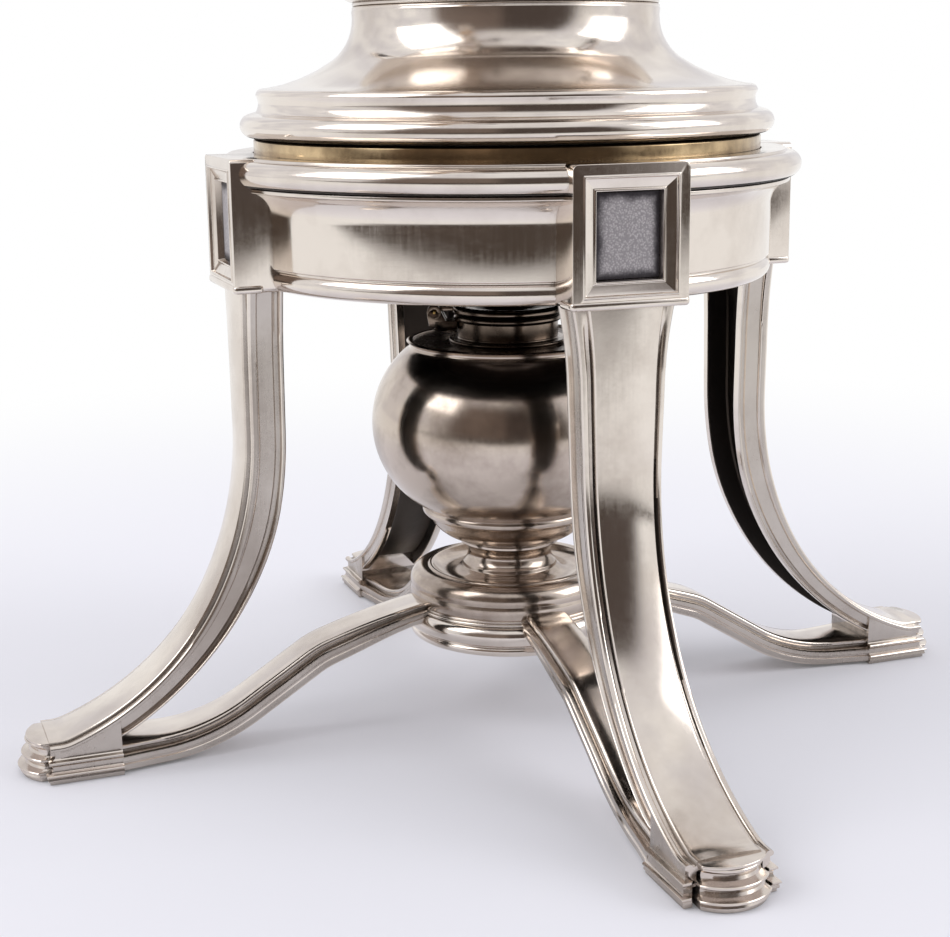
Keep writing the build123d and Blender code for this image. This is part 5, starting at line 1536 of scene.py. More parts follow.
@dataclass
class Snuffer:
    """The snuffing cover, its hinge fork and its pin, made on +X and turned to the hinge, in millimetres."""

    cover_r: float = 16.8
    base_z: float = 124.8
    cover_t: float = 1.6
    hinge_out: float = 22.0
    hinge_angle: float = 203.6
    pin_r: float = 0.9
    knuckle_r: float = 2.2
    knuckle_half_w: float = 1.7
    ear_from: float = 2.0
    ear_to: float = 3.6
    collar_r: float = 15.2

    def on_hinge(self) -> Matrix:
        """Lays what was turned about Z along the hinge's axis."""
        return shift(self.hinge_out, 0, self.base_z) @ turn_about(-90, "X")

    def knuckle(self, name: str, y_from: float, y_to: float) -> Piece:
        """A rolled tube on the hinge's axis, open for the pin."""
        line = Profile((self.pin_r + 0.05, y_from), (self.knuckle_r, y_from), (self.knuckle_r, y_to),
            (self.pin_r + 0.05, y_to))
        roll = turned(name, line.softened(0.25), 40)
        return moved(roll, self.on_hinge())

    def strap(self, name: str, points: Sequence[Point], half_w: float) -> Piece:
        """A strip with a bent side view, given as radius and height."""
        strip = extruded(name, [Vector((x, -half_w, z)) for x, z in points], Vector((0, 2 * half_w, 0)))
        return bevelled(strip, 0.22, 2)

    def cover(self, shop: Workshop) -> None:
        """The flat cap with its raised rim, its strap and the middle knuckle."""
        top = self.base_z + self.cover_t
        line = Profile((0.0, self.base_z), (self.cover_r - 0.3, self.base_z),
            (self.cover_r - 0.2, top - 0.2, 0.2), (self.cover_r - 1.6, top + 0.5, 0.3),
            (self.cover_r - 2.9, top + 0.1, -0.15), (7.0, top + 0.2, -0.25), (5.0, top + 0.55, 0.2),
            (0.0, top + 0.58))
        disc = turned("cover_disc", line.softened(0.2, closed=False), 112)
        low, high = self.base_z + 0.1, top + 0.1
        outline = [
            (self.cover_r - 3.0, low), (self.hinge_out, low), (self.hinge_out, high),
            (self.cover_r - 3.0, high)]
        strap = self.strap("cover_strap", outline, self.knuckle_half_w)
        roll = self.knuckle("cover_knuckle", -self.knuckle_half_w, self.knuckle_half_w)
        whole = moved(joined("snuffer_cap", [disc, strap, roll]), turn_about(self.hinge_angle, "Z"))
        shop.dress(whole, FIRE_STAINED_AND_SHADED, Body.SNUFFER, "snuffing_cover")

    def fork(self, shop: Workshop) -> None:
        """The strap from the collar that forks into two ears."""
        low = self.base_z - self.knuckle_r - 3.4
        ledge = self.base_z - self.knuckle_r - 0.3
        outer = self.hinge_out + self.knuckle_r
        shelf = [(self.collar_r, low + 0.6), (self.hinge_out - 3.0, low), (self.hinge_out, low + 0.4)]
        shelf += [(self.hinge_out, ledge), (self.collar_r, ledge)]
        parts = [self.strap("fork_shelf", shelf, self.ear_to)]
        ear = [(self.collar_r, low + 0.6), (self.hinge_out - 2.2, low + 0.2), (outer - 0.6, low + 1.4)]
        ear += [(outer, self.base_z - 0.6), (outer - 0.9, self.base_z + 0.9)]
        ear += [(self.hinge_out - self.knuckle_r, self.base_z), (self.hinge_out - 3.6, self.base_z - 2.7)]
        ear += [(self.collar_r, self.base_z - 2.7)]
        middle = (self.ear_from + self.ear_to) / 2
        half = (self.ear_to - self.ear_from) / 2
        for hand in (-1, 1):
            plate = self.strap("fork_ear", ear, half)
            parts.append(moved(plate, shift(y=hand * middle)))
            low_y, high_y = sorted((hand * self.ear_from, hand * self.ear_to))
            parts.append(self.knuckle("fork_knuckle", low_y, high_y))
        whole = moved(joined("hinge_fork", parts), turn_about(self.hinge_angle, "Z"))
        shop.dress(whole, FIRE_STAINED_AND_SHADED, Body.BURNER, "hinge_bracket")

    def pin(self, shop: Workshop) -> None:
        """The pin, with a rounded head at each end."""
        reach = self.ear_to
        line = Profile((0.0, -reach), (self.pin_r, -reach + 0.35, 0.15), (self.pin_r, reach - 0.35),
            (0.0, reach, 0.15))
        rod = turned("fork_pin", line.softened(0.1, closed=False), 32)
        place = turn_about(self.hinge_angle, "Z") @ self.on_hinge()
        shop.dress(moved(rod, place), BRASS, Body.BURNER, "hinge_pin")

    def build(self, shop: Workshop) -> None:
        """Make the cover and its hinge."""
        self.cover(shop)
        self.fork(shop)
        self.pin(shop)


# Urn

@dataclass
class Urn:
    """The urn's pedestal, knop, vessel, girdle and mouth rim, in millimetres."""

    pedestal_base_z: float = 177.5
    bead_z: float = 184.2
    band_z: float = 189.4
    edge_z: float = 191.0
    knop_z: float = 213.6
    body_z: float = 227.6
    neck_r: float = 43.9
    knop_bore_r: float = 39.0
    bead_r: float = 74.2
    foot_bore_r: float = 65.3
    cove_r: float = 50.4
    cove_z: float = 198.8
    body_r: float = 92.0
    widest_z: float = 343.509
    girdle_top_z: float = 350.509
    belly_r: float = 120.0
    tuck_r: float = 36.0
    belly_turn: float = 45.0
    shoulder_r: float = 40.0
    throat_r: float = 8.0
    shoulder_turn: float = 60.0
    mouth_r: float = 68.0
    mouth_z: float = 397.078
    wall: float = 1.5

    def pedestal(self, shop: Workshop) -> None:
        """The pedestal: heavy bead, hollow band, small edge and a broad cove to the neck."""
        base, bead, neck = self.pedestal_base_z, self.bead_r, self.neck_r
        line = Profile((self.foot_bore_r, base), (bead, base), (bead + 0.7, self.bead_z - 0.25, 3.2),
            (bead, self.bead_z), (bead - 1.0, self.bead_z + 0.15), (72.8, self.band_z - 0.35, -0.75),
            (72.9, self.band_z - 0.1), (70.9, self.edge_z, 0.55), (70.2, self.edge_z + 0.05),
            (self.cove_r, self.cove_z, -1.2), (neck + 0.7, self.knop_z - 1.2, -2.0),
            (neck + 0.5, self.knop_z - 0.8), (neck, self.knop_z, 0.3), (neck - 2.0, self.knop_z),
            (self.cove_r - 2.2, self.cove_z - 1.9, 2.0), (68.6, self.edge_z - 2.0, 1.1),
            (self.foot_bore_r, self.bead_z))
        # Its inner and downward faces take soot and painted shade
        shell = sooted(turned("pedestal_shell", line.softened(0.3), 192), faces_flame)
        shop.dress(shell, SILVER, Body.URN, "urn_pedestal")

    def knop(self, shop: Workshop) -> None:
        """The rounded knop, with a fine fillet above and below it."""
        line = Profile((self.knop_bore_r, self.knop_z), (self.neck_r, self.knop_z),
            (self.neck_r + 0.5, self.knop_z + 0.3), (self.neck_r + 0.5, self.knop_z + 0.9),
            (self.neck_r + 0.1, self.knop_z + 1.2), (self.neck_r + 0.1, self.body_z - 1.2, 5.2),
            (self.neck_r + 0.5, self.body_z - 0.9), (self.neck_r + 0.5, self.body_z - 0.2),
            (self.neck_r + 0.2, self.body_z), (self.knop_bore_r, self.body_z))
        shop.dress(turned("neck_roll", line.softened(0.25)), SILVER, Body.URN, "neck_knop")

    def wall_line(self, side: float) -> list[Point]:
        """The vessel's line from its collar up to its mouth.

        Args:
            side: How far inside the outer face the line runs.

        Returns:
            Points of radius and height.
        """
        turn, lean = radians(self.belly_turn), radians(self.shoulder_turn)
        belly_r, shoulder_r = self.body_r - self.belly_r, self.body_r - self.shoulder_r
        tuck_r = belly_r + (self.belly_r + self.tuck_r) * cos(turn)
        tuck_z = self.widest_z - (self.belly_r + self.tuck_r) * sin(turn)
        top_r = shoulder_r + (self.shoulder_r + self.throat_r) * cos(lean)
        top_z = self.girdle_top_z + (self.shoulder_r + self.throat_r) * sin(lean)
        collar_r = tuck_r - self.tuck_r - side
        # Each arc: its middle, its radius, and the angles that it goes between
        arcs = [((tuck_r, tuck_z), -self.tuck_r - side, 0.0, -turn, 12)]
        arcs += [((belly_r, self.widest_z), self.belly_r - side, -turn, 0.0, 24)]
        arcs += [((shoulder_r, self.girdle_top_z), self.shoulder_r - side, 0.0, lean, 16)]
        arcs += [((top_r, top_z), -self.throat_r - side, lean, 0.0, 8)]
        places = [(collar_r, self.body_z), (collar_r, tuck_z)]
        for (r, z), reach, start, end, steps in arcs:
            if start == 0.0 and reach > 0:
                places.append((self.body_r - side, self.girdle_top_z))
            for step in range(1, steps + 1):
                angle = start + (end - start) * step / steps
                places.append((r + reach * cos(angle), z + reach * sin(angle)))
        return [*places, (self.mouth_r - side, self.mouth_z)]

    def vessel(self, shop: Workshop) -> None:
        """The vase-shaped vessel, raised from sheet, hollow and open at the mouth."""
        outside = self.wall_line(0.0)
        inside = self.wall_line(self.wall)
        floor = self.body_z + self.wall
        points = [(0.0, self.body_z), *outside, *reversed(inside[1:]), (inside[0][0], floor), (0.0, floor)]
        # Its underside, towards the lamp, takes soot and painted shade inside the pedestal
        vase = sooted(
            turned("vase_vessel", points, 192), lambda co, normal: normal.z < -0.9 and co.z < floor * MM)
        nodes = ("vessel", "vessel_floor", "vessel_tuck", "vessel_shoulder")
        shop.dress(vase, SILVER, Body.URN, *nodes)

    def girdle(self, shop: Workshop) -> None:
        """The moulding round the vessel's widest part: a roll between two fillets."""
        r, low, high = self.body_r, self.widest_z, self.girdle_top_z
        line = Profile((r - 0.2, low), (r + 0.9, low), (r + 1.1, low + 0.9), (r + 0.7, low + 1.2),
            (r + 0.7, high - 1.2, 1.8), (r + 1.1, high - 0.9), (r + 0.9, high), (r - 0.2, high))
        shop.dress(turned("vessel_girdle", line.softened(0.25), 192), SILVER, Body.URN, "girdle")

    def rim(self, shop: Workshop) -> None:
        """The rounded moulding round the mouth."""
        r, top = self.mouth_r, self.mouth_z
        line = Profile((r - 0.2, top - 4.0), (r + 0.3, top - 4.0), (r + 0.5, top - 0.4, 1.5), (r, top),
            (r - 0.2, top))
        shop.dress(turned("mouth_moulding", line.softened(0.2), 176), SILVER, Body.URN, "mouth_rim")

    def build(self, shop: Workshop) -> None:
        """Make the urn's turned pieces."""
        self.pedestal(shop)
        self.knop(shop)
        self.vessel(shop)
        self.girdle(shop)
        self.rim(shop)


@dataclass
class Handles:
    """Two loop handles with turned wooden grips, made on +X, in millimetres."""

    out_r: float = 128.0
    bend_r: float = 9.0
    tube_r: float = 4.0
    top_z: float = 333.509
    low_z: float = 283.509
    grip_top_z: float = 321.509
    grip_base_z: float = 295.509
    ferrule_r: float = 6.0
    body_r: float = 92.0
    belly_r: float = 120.0
    widest_z: float = 343.509

    def wall_r(self, z: float) -> float:
        """The vessel's radius at a height below its widest part."""
        return self.body_r - self.belly_r + sqrt(self.belly_r**2 - (self.widest_z - z) ** 2)

    def arm(self, name: str, root_z: float, end_z: float) -> Piece:
        """One arm: a socket on the vessel, a tapered tube with a bend, and a ferrule.

        Args:
            name: The arm's name.
            root_z: Where it leaves the vessel.
            end_z: Where the grip starts.

        Returns:
            The arm.
        """
        hand = 1 if end_z > root_z else -1
        start_r = self.wall_r(root_z) - 1.0
        run = self.out_r - self.bend_r - start_r
        places = [(start_r + run * step / 10, root_z, 0.0) for step in range(11)]
        places += bend(self.out_r - self.bend_r, root_z, self.bend_r, 0.0, -90.0 * hand, 12)
        way = []
        for step, (x, z, slope) in enumerate(places):
            size = 1 - 0.175 * sin(pi * min(1.0, 1.4 * step / (len(places) - 1)))
            way.append(Station(x, z, slope, size, size))
        bar = tube("arm_tube", self.tube_r, way)
        bend_z = root_z + hand * self.bend_r
        low, high = sorted((bend_z, end_z))
        ring = Profile((0.0, low), (self.ferrule_r - 1.2, low), (self.ferrule_r - 0.3, (low + high) / 2, 0.4),
            (self.ferrule_r - 0.3, high, 0.3), (0.0, high))
        ferrule = moved(turned("arm_ferrule", ring.softened(0.2, closed=False), 56), shift(x=self.out_r))
        root = Profile((0.0, 0.0), (7.4, 0.0), (7.2, 1.6, 0.5), (6.2, 1.8), (self.tube_r, 5.5, -1.2),
            (self.tube_r, 6.0), (0.0, 6.0))
        lean = degrees(asin((self.widest_z - root_z) / self.belly_r))
        socket = turned("arm_socket", root.softened(0.2, closed=False), 56)
        place = shift(
            x=self.wall_r(root_z) - 1.4, z=root_z) @ turn_about(lean * 0.6, "Y") @ turn_about(90, "Y")
        return joined(name, [bar, ferrule, moved(socket, place)])

    def grip(self) -> Piece:
        """The grip: turned wood, swelling in its middle, with a scored ring near each end.

        Returns:
            The grip.
        """
        low, high = self.grip_base_z, self.grip_top_z
        line = Profile((0.0, low), (5.6, low), (6.0, low + 1.2, 0.2), (5.75, low + 1.6), (6.1, low + 2.0),
            (6.1, high - 2.0, 1.9), (5.75, high - 1.6), (6.0, high - 1.2), (5.6, high, 0.2), (0.0, high))
        return moved(turned("grip", line.softened(0.15, closed=False), 72), shift(x=self.out_r))

    def build(self, shop: Workshop) -> None:
        """Make both handles."""
        upper = self.arm("upper_arm", self.top_z, self.grip_top_z)
        lower = self.arm("lower_arm", self.low_z, self.grip_base_z)
        grip = self.grip()
        kinds = [(upper, "upper_arm", SILVER, "handle_arm_upper")]
        kinds += [(lower, "lower_arm", SILVER, "handle_arm_lower"), (grip, "grip", WOOD, "handle_grip")]
        shop.repeat(Side, Body.URN, *kinds)


@dataclass
class Tap:
    """The lever tap, towards -Y, in millimetres."""

    z: float = 262.0
    plug_y: float = 93.267
    spout_y: float = 105.667
    face_y: float = 73.967
    inner_y: float = 43.067
    tube_r: float = 6.5
    barrel_r: float = 9.0
    barrel_base_z: float = 247.0
    barrel_top_z: float = 277.0
    plug_top_z: float = 279.0
    spout_r: float = 5.4
    lip_r: float = 7.0
    lip_z: float = 236.0
    spout_bend: float = 8.0

    def rosette(self, shop: Workshop) -> None:
        """The boss on the vessel's wall."""
        line = Profile((6.5, -self.face_y), (10.6, -self.face_y), (12.2, 1.6 - self.face_y, 0.5),
            (10.9, 2.8 - self.face_y, 0.4), (10.9, 9.0 - self.face_y), (6.5, 9.0 - self.face_y))
        disc = turned("tap_boss", line.softened(0.2), 96)
        shop.dress(moved(disc, shift(z=self.z) @ turn_about(-90, "X")), SILVER, Body.URN, "tap_rosette")

    def body(self, shop: Workshop) -> None:
        """The tap's body: tube, banded barrel and a spout that bends down to a flared lip."""
        pipe = Profile((3.3, -self.plug_y + 4.0), (self.tube_r, -self.plug_y + 4.0), (self.tube_r, -81.0),
            (self.tube_r, -77.0, 1.2), (self.tube_r, -self.inner_y), (3.3, -self.inner_y))
        inlet = moved(turned("tap_tube", pipe.softened(0.2), 72), shift(z=self.z) @ turn_about(-90, "X"))
        low, high = self.barrel_base_z, self.barrel_top_z
        shell = Profile((5.0, low), (self.barrel_r + 0.7, low), (self.barrel_r + 0.7, low + 2.4, 0.3),
            (self.barrel_r, low + 2.7), (self.barrel_r, high - 2.7, 0.25), (self.barrel_r + 0.7, high - 2.4),
            (self.barrel_r + 0.7, high, 0.3), (6.05, high))
        barrel = moved(turned("tap_barrel", shell.softened(0.2), 96), shift(y=-self.plug_y))
        run = self.spout_y - self.spout_bend
        start = self.plug_y + 2.0
        places = [(start + (run - start) * step / 4, self.z, 0.0) for step in range(5)]
        places += bend(run, self.z, self.spout_bend, 0.0, 90.0, 14)
        last_z = self.z - self.spout_bend
        places.extend(
            (self.spout_y, last_z - (last_z - self.lip_z - 4.0) * step / 5, 90.0) for step in range(1, 6))
        way = []
        for step, (x, z, slope) in enumerate(places):
            size = 1 - 0.09 * sin(pi * step / (len(places) - 1))
            way.append(Station(x, z, slope, size, size))
        spout = moved(tube("tap_spout", self.spout_r, way, 44), turn_about(-90, "Z"))
        cup = Profile((3.3, self.lip_z), (self.lip_r - 1.0, self.lip_z),
            (self.lip_r - 0.1, self.lip_z + 1.8, 0.2), (self.spout_r, self.lip_z + 4.6, 0.5),
            (3.3, self.lip_z + 4.6))
        lip = moved(turned("tap_lip", cup.softened(0.2), 72), shift(y=-self.spout_y))
        whole = joined("tap_casting", [inlet, barrel, spout, lip])
        shop.dress(whole, SILVER, Body.URN, "tap_body")

    def plug(self, shop: Workshop) -> None:
        """The tapered plug with its stem, washer and nut."""
        top, low = self.plug_top_z, self.barrel_base_z
        line = Profile((0.0, low - 8.0), (1.9, low - 8.0), (2.4, low - 7.5), (2.4, low), (4.8, low),
            (6.0, top), (2.5, top), (2.5, top + 8.4), (0.0, top + 9.0, 0.3))
        cone = moved(turned("taper_plug", line.softened(0.2, closed=False), 64), shift(y=-self.plug_y))
        shop.dress(cone, SILVER, Body.PLUG, "tap_plug")
        under = low - 0.3
        disc = Profile((2.45, under - 1.2), (6.2, under - 1.2), (6.4, under - 0.9), (6.4, under),
            (2.45, under))
        washer = moved(turned("draw_washer", disc.softened(0.15), 64), shift(y=-self.plug_y))
        shop.dress(washer, BRASS, Body.PLUG, "plug_washer")
        hexed = self.hexagon("draw_nut", 4.4, under - 4.6, under - 1.2, 2.45)
        shop.dress(moved(hexed, shift(y=-self.plug_y)), BRASS, Body.PLUG, "plug_nut")

    def hexagon(self, name: str, reach: float, z_from: float, z_to: float, bore: float) -> Piece:
        """A six-sided nut on the axis, with chamfered corners.

        Args:
            name: The nut's name.
            reach: From its middle to a corner.
            z_from: Its underside.
            z_to: Its top.
            bore: Its hole's radius.

        Returns:
            The nut.
        """
        cut = 0.07 * reach
        line = Profile((bore, z_from), (reach - cut, z_from), (reach, z_from + cut * 0.7),
            (reach, z_to - cut * 0.7))
        nut = turned(name, line.to(reach - cut, z_to).to(bore, z_to).points, 48)
        middle, height = (z_from + z_to) / 2 * MM, (z_to - z_from + 2.0) * MM
        clear_selection()
        bpy.ops.mesh.primitive_cylinder_add(
            vertices=6, radius=reach * MM, depth=height, location=(0, 0, middle))
        stock = bpy.context.active_object
        select_only(nut)
        flats = nut.modifiers.new("Flats", "BOOLEAN")
        flats.operation = "INTERSECT"
        flats.solver = "EXACT"
        flats.object = stock
        bpy.ops.object.modifier_apply(modifier=flats.name)
        bpy.data.objects.remove(stock)
        return nut

    def back_nut(self, shop: Workshop) -> None:
        """The nut inside the vessel."""
        nut = self.hexagon("wall_nut", 9.4, self.inner_y, self.inner_y + 4.8, 6.5)
        shop.dress(moved(nut, shift(z=self.z) @ turn_about(90, "X")), BRASS, Body.URN, "tap_back_nut")

    def lever(self, shop: Workshop) -> None:
        """The lever: a banded hub, a waisted arm and a turned wooden knob."""
        low = self.plug_top_z
        middle = low + 3.5
        line = Profile((2.55, low), (5.0, low), (5.3, low + 1.6, 0.2), (4.7, low + 2.0),
            (4.7, low + 5.0, 0.6), (5.3, low + 5.4), (4.9, low + 6.9, 0.3), (2.55, low + 7.0))
        hub = moved(turned("lever_hub_ring", line.softened(0.2), 64), shift(y=-self.plug_y))
        arm = Profile((0.0, 2.7), (3.0, 2.7), (2.4, 13.0, -0.5), (2.5, 19.5, -0.1), (3.3, 20.0),
            (3.3, 22.0, 0.3), (0.0, 22.0))
        bar = moved(
            turned("lever_bar", arm.softened(0.2, closed=False), 48),
            shift(y=-self.plug_y, z=middle) @ turn_about(90, "Y"))
        shop.dress(joined("lever_arm", [hub, bar]), SILVER, Body.PLUG, "lever_hub")
        ball = Profile((0.0, 22.0), (2.6, 22.0), (2.9, 23.6, 0.15), (2.6, 24.0), (3.2, 33.6, 2.9),
            (0.0, 35.0, 0.3))
        knob = moved(
            turned("lever_ball", ball.softened(0.2, closed=False), 64),
            shift(y=-self.plug_y, z=middle) @ turn_about(90, "Y"))
        shop.dress(knob, KNOB_WOOD, Body.PLUG, "lever_knob")

    def build(self, shop: Workshop) -> None:
        """Make the tap."""
        self.rosette(shop)
        self.body(shop)
        self.back_nut(shop)
        self.plug(shop)
        self.lever(shop)


@dataclass
class Lid:
    """The domed lid, its bezel and the finial, in millimetres."""

    base_z: float = 397.378
    edge_r: float = 69.2
    dome_z: float = 399.778
    dome_r: float = 65.8
    dome_top_z: float = 419.778
    crown_top_z: float = 421.778
    crown_r: float = 12.0
    bezel_r: float = 65.7
    rod_r: float = 1.6
    base_top_z: float = 427.778
    disc_top_z: float = 430.778
    stem_z: float = 434.778
    bulb_z: float = 450.778
    tip_z: float = 459.648

    def cover(self, shop: Workshop) -> None:
        """The dome, with a rolled edge, a stepped ring and a small crown."""
        inner = self.bezel_r - 1.4
        line = Profile((inner, self.base_z), (self.edge_r - 0.5, self.base_z),
            (self.edge_r - 0.5, self.dome_z, 1.1), (self.dome_r + 0.8, self.dome_z + 0.1),
            (self.dome_r - 0.4, self.dome_z + 1.0, -0.35), (self.crown_r + 6.0, self.dome_top_z - 1.4, 4.3),
            (self.crown_r, self.dome_top_z + 0.2, 0.15), (self.crown_r, self.crown_top_z - 0.5),
            (self.crown_r - 0.8, self.crown_top_z, 0.2), (self.rod_r + 0.05, self.crown_top_z),
            (self.rod_r + 0.05, self.dome_top_z - 1.5), (self.crown_r, self.dome_top_z - 1.5),
            (self.dome_r - 1.5, self.dome_z - 0.7, -5.0), (inner, self.dome_z - 0.7))
        shop.dress(turned("domed_lid", line.softened(0.25), 176), SILVER, Body.LID, "lid")
        ring = Profile((inner, self.base_z - 8.0), (self.bezel_r, self.base_z - 8.0),
            (self.bezel_r, self.base_z), (inner, self.base_z))
        shop.dress(turned("lid_bezel_ring", ring.softened(0.4), 144), SILVER, Body.LID, "lid_bezel")

    def finial(self, shop: Workshop) -> None:
        """The finial: waisted base, wooden disc, urn-shaped knob, and the nut inside the lid."""
        hole = self.rod_r + 0.05
        foot = Profile((hole, self.crown_top_z), (9.6, self.crown_top_z), (9.6, self.crown_top_z + 1.3, 0.35),
            (8.9, self.base_top_z - 1.0, -2.0), (9.4, self.base_top_z - 0.9), (9.4, self.base_top_z),
            (hole, self.base_top_z))
        shop.dress(turned("finial_foot", foot.softened(0.2), 96), SILVER, Body.LID, "finial_base")
        disc = Profile((hole, self.base_top_z), (8.6, self.base_top_z), (8.6, self.disc_top_z, 0.95),
            (hole, self.disc_top_z))
        shop.dress(turned("cool_disc", disc.softened(0.2), 96), WOOD, Body.LID, "finial_insulator")
        low = self.dome_top_z - 4.5
        knob = Profile((0.0, low), (self.rod_r, low), (self.rod_r, self.disc_top_z), (7.1, self.disc_top_z),
            (6.6, self.disc_top_z + 1.0, 0.2), (4.2, self.stem_z, -0.8), (9.2, self.stem_z + 5.0, 1.1),
            (10.4, self.stem_z + 8.4, 0.5), (10.4, self.stem_z + 9.2), (9.8, self.stem_z + 9.6),
            (5.2, self.bulb_z, -1.6), (5.2, self.bulb_z + 0.7), (2.6, self.bulb_z + 3.2, -0.7),
            (2.8, self.bulb_z + 7.2, 1.2), (0.0, self.tip_z, 0.8))
        shop.dress(turned("finial_knob", knob.softened(0.2, closed=False), 96), SILVER, Body.LID, "finial")
        nut = Tap().hexagon("finial_hex", 5.0, low, low + 3.0, hole)
        shop.dress(nut, BRASS, Body.LID, "finial_nut")

    def build(self, shop: Workshop) -> None:
        """Make the lid."""
        self.cover(shop)
        self.finial(shop)


# Studio

@dataclass
class Studio:
    """Floor, lamps, surroundings and camera. Lengths are in metres."""

    floor_size: float = 12.0
    floor_drop: float = 0.0002
    floor_colour: str = "#E6E6EE"
    floor_fade: Point = (0.16, 0.62)
    floor_end: Point = (0.5, 0.95)
    room_dark: str = "#4F4640"
    tent_white: str = "#FFFFFF"
    tent_fold: str = "#B9B7C6"
    room_deep: str = "#2F2A2A"
    room_pale: str = "#7D7069"
    room_side: Point = (0.5, 0.7)
    room_top: Point = (0.72, 0.5)
    room_band: Point = (-0.12, 0.02)
    lens: float = 66.45
    sensor: float = 36.0
    view_turn: float = 23.609
    distance: float = 0.5251
    height: float = 0.1994
    pitch: float = 13.222
    yaw: float = -1.135
    roll: float = -0.686
    lamp_aim: float = 0.15

    def turn(self) -> Matrix:
        """The turn from the stand's front to the viewer's side."""
        return Matrix.Rotation(radians(self.view_turn), 3, "Z")

    def camera(self) -> None:
        """The camera at the photograph's place, as fitted to the stand."""
        data = bpy.data.cameras.new("camera")
        data.lens = self.lens
        data.sensor_width = self.sensor
        data.clip_start = 0.01
        data.clip_end = 100.0
        eye = bpy.data.objects.new("camera", data)
        bpy.context.scene.collection.objects.link(eye)
        pitch, yaw, roll = radians(self.pitch), radians(self.yaw), radians(self.roll)
        ahead = self.turn() @ Vector((sin(yaw) * cos(pitch), cos(yaw) * cos(pitch), -sin(pitch)))
        right = ahead.cross(Vector((0, 0, 1))).normalized()
        up = right.cross(ahead)
        axes = Matrix((cos(roll) * right + sin(roll) * up, cos(roll) * up - sin(roll) * right, -ahead))
        place = self.turn() @ Vector((0, -self.distance, self.height))
        eye.matrix_world = Matrix.Translation(place) @ axes.transposed().to_4x4()
        bpy.context.scene.camera = eye

    def floor(self) -> None:
        """A plain pale floor that fades to white far from the samovar."""
        clear_selection()
        bpy.ops.mesh.primitive_plane_add(size=self.floor_size, location=(0, 0, -self.floor_drop))
        ground = bpy.context.active_object
        ground.name = "floor"
        made = empty_material("pale_floor")
        tree = made.node_tree
        rays = add(tree, "LightPath").outputs
        seen = add(
            tree, "Math", (rays["Is Camera Ray"], rays["Is Glossy Ray"]), operation="ADD", use_clamp=True)
        seen = add(tree, "Math", (seen, rays["Is Transmission Ray"]), operation="ADD", use_clamp=True)
        place = add(tree, "TexCoord").outputs["Object"]
        reach = add(tree, "VectorMath", (place,), operation="LENGTH")
        far = add(tree, "MapRange", (reach, *self.floor_fade, 0.1, 1.0), interpolation_type="SMOOTHSTEP")
        share = add(tree, "Math", (seen, far), operation="MULTIPLY")
        # In the silver the floor ends soon on the viewer's side, and the dark room starts
        viewer = self.turn() @ Vector((0, -1, 0))
        ahead = add(tree, "VectorMath", (place, viewer), operation="DOT_PRODUCT")
        beyond = add(tree, "MapRange", (ahead, *self.floor_end), interpolation_type="SMOOTHSTEP")
        room = add(tree, "Math", (beyond, rays["Is Glossy Ray"]), operation="MULTIPLY")
        tint = add(
            tree, "Mix", {0: room, 6: linear(self.tent_white), 7: linear(self.room_dark)}, data_type="RGBA")
        cloth = add(tree, "BsdfDiffuse", {"Color": linear(self.floor_colour)})
        glow = add(tree, "Emission", {"Color": tint, "Strength": 1.0})
        add(tree, "OutputMaterial", {"Surface": add(tree, "MixShader", (share, cloth, glow))})
        ground.data.materials.append(made)

    def surroundings(self) -> None:
        """A white tent all round, with the darker room showing where the tent is open towards the viewer."""
        world = bpy.data.worlds.new("tent")
        bpy.context.scene.world = world
        world.use_nodes = True
        tree = world.node_tree
        tree.nodes.clear()
        way = add(tree, "TexCoord").outputs["Generated"]
        viewer, aside = self.turn() @ Vector((0, -1, 0)), self.turn() @ Vector((1, 0, 0))
        front = add(tree, "VectorMath", (way, viewer), operation="DOT_PRODUCT")
        height = add(tree, "SeparateXYZ", (way,)).outputs["Z"]
        open_side = add(tree, "MapRange", (front, *self.room_side), interpolation_type="SMOOTHSTEP")
        under = add(tree, "MapRange", (height, *self.room_top), interpolation_type="SMOOTHSTEP")
        room = add(tree, "Math", (open_side, under), operation="MULTIPLY")
        across = add(tree, "VectorMath", (way, aside), operation="DOT_PRODUCT")
        fold = add(tree, "TexNoise", {"Vector": way, "Scale": 3.2, "Detail": 3.0, "Distortion": 0.6})
        folds = add(tree, "MapRange", (fold, 0.35, 0.62, 0.55, 1.0))
        white = linear(self.tent_white)
        tent = add(tree, "Mix", {0: folds, 6: linear(self.tent_fold), 7: white}, data_type="RGBA")
        bands = add(tree, "MapRange", (across, *self.room_band, 1.0, 0.35), interpolation_type="SMOOTHSTEP")
        shades = {0: bands, 6: linear(self.room_deep), 7: linear(self.room_pale)}
        inside = add(tree, "Mix", shades, data_type="RGBA")
        seen_room = add(tree, "Mix", {0: room, 6: tent, 7: inside}, data_type="RGBA")
        rays = add(tree, "LightPath").outputs
        light = add(tree, "Background", {"Color": seen_room, "Strength": 1.0})
        plain = add(tree, "Background", {"Color": white, "Strength": 1.0})
        mixed = add(tree, "MixShader", (rays["Is Camera Ray"], light, plain))
        add(tree, "OutputWorld", {"Surface": mixed})

    def lamps(self) -> None:
        """Two large soft lamps, one over each shoulder of the viewer."""
        softboxes = (
            ("left_softbox", (-1.3, -0.5, 1.3), 1.2, 11.0), ("right_softbox", (1.5, -0.2, 0.9), 1.0, 8.0))
        for name, spot, size, power in softboxes:
            data = bpy.data.lights.new(name, "AREA")
            data.size = size
            data.energy = power
            lamp = bpy.data.objects.new(name, data)
            bpy.context.scene.collection.objects.link(lamp)
            lamp.location = self.turn() @ Vector(spot)
            aim = Vector((0, 0, self.lamp_aim)) - lamp.location
            lamp.rotation_euler = aim.to_track_quat("-Z", "Y").to_euler()

    def build(self) -> None:
        """Set up the studio."""
        self.camera()
        self.floor()
        self.surroundings()
        self.lamps()
        bpy.context.scene.view_settings.view_transform = "Standard"


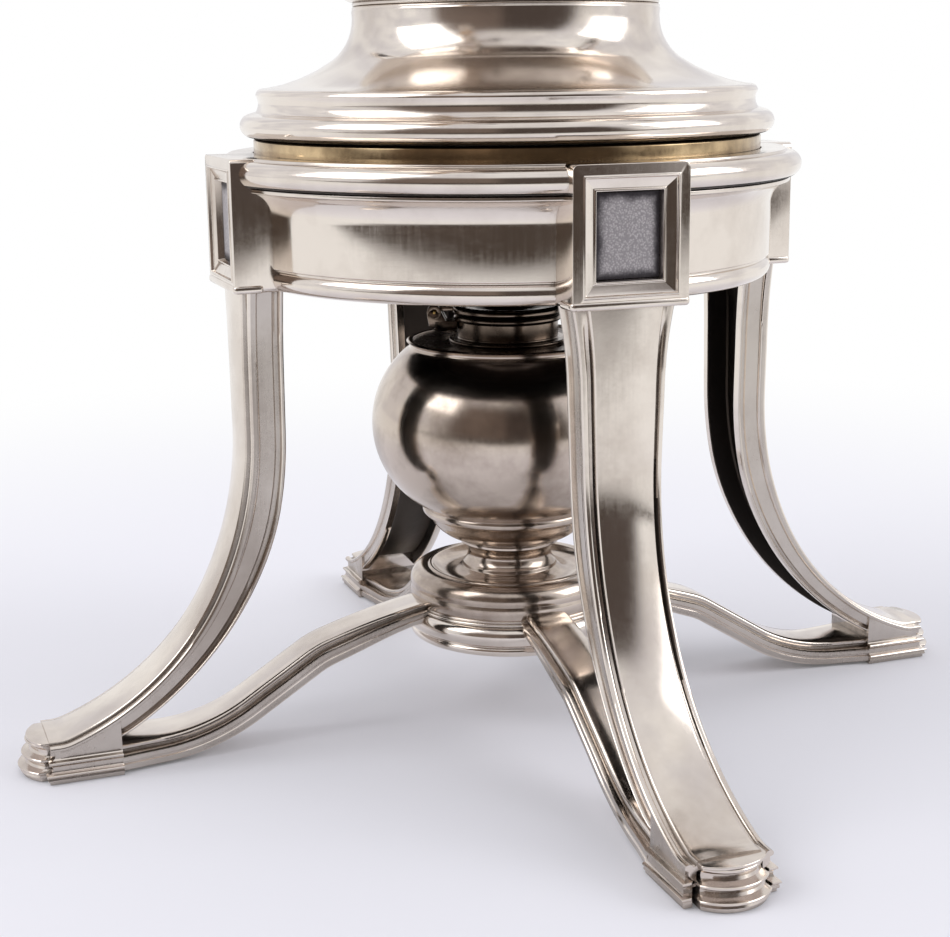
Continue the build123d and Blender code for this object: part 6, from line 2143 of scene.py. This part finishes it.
def main() -> None:
    """Build the samovar's looks, sub-assembly by sub-assembly."""
    logging.basicConfig(level=logging.INFO, format="%(name)s: %(message)s")
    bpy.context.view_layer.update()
    Studio().build()
    shop = Workshop()
    for kind in (StandTop, Leg, Foot, Stretcher, Cradle, Lamp, Snuffer, Urn, Handles, Tap, Lid):
        LOG.info("building %s", kind.__name__)
        kind().build(shop)


if __name__ == "__main__":
    main()
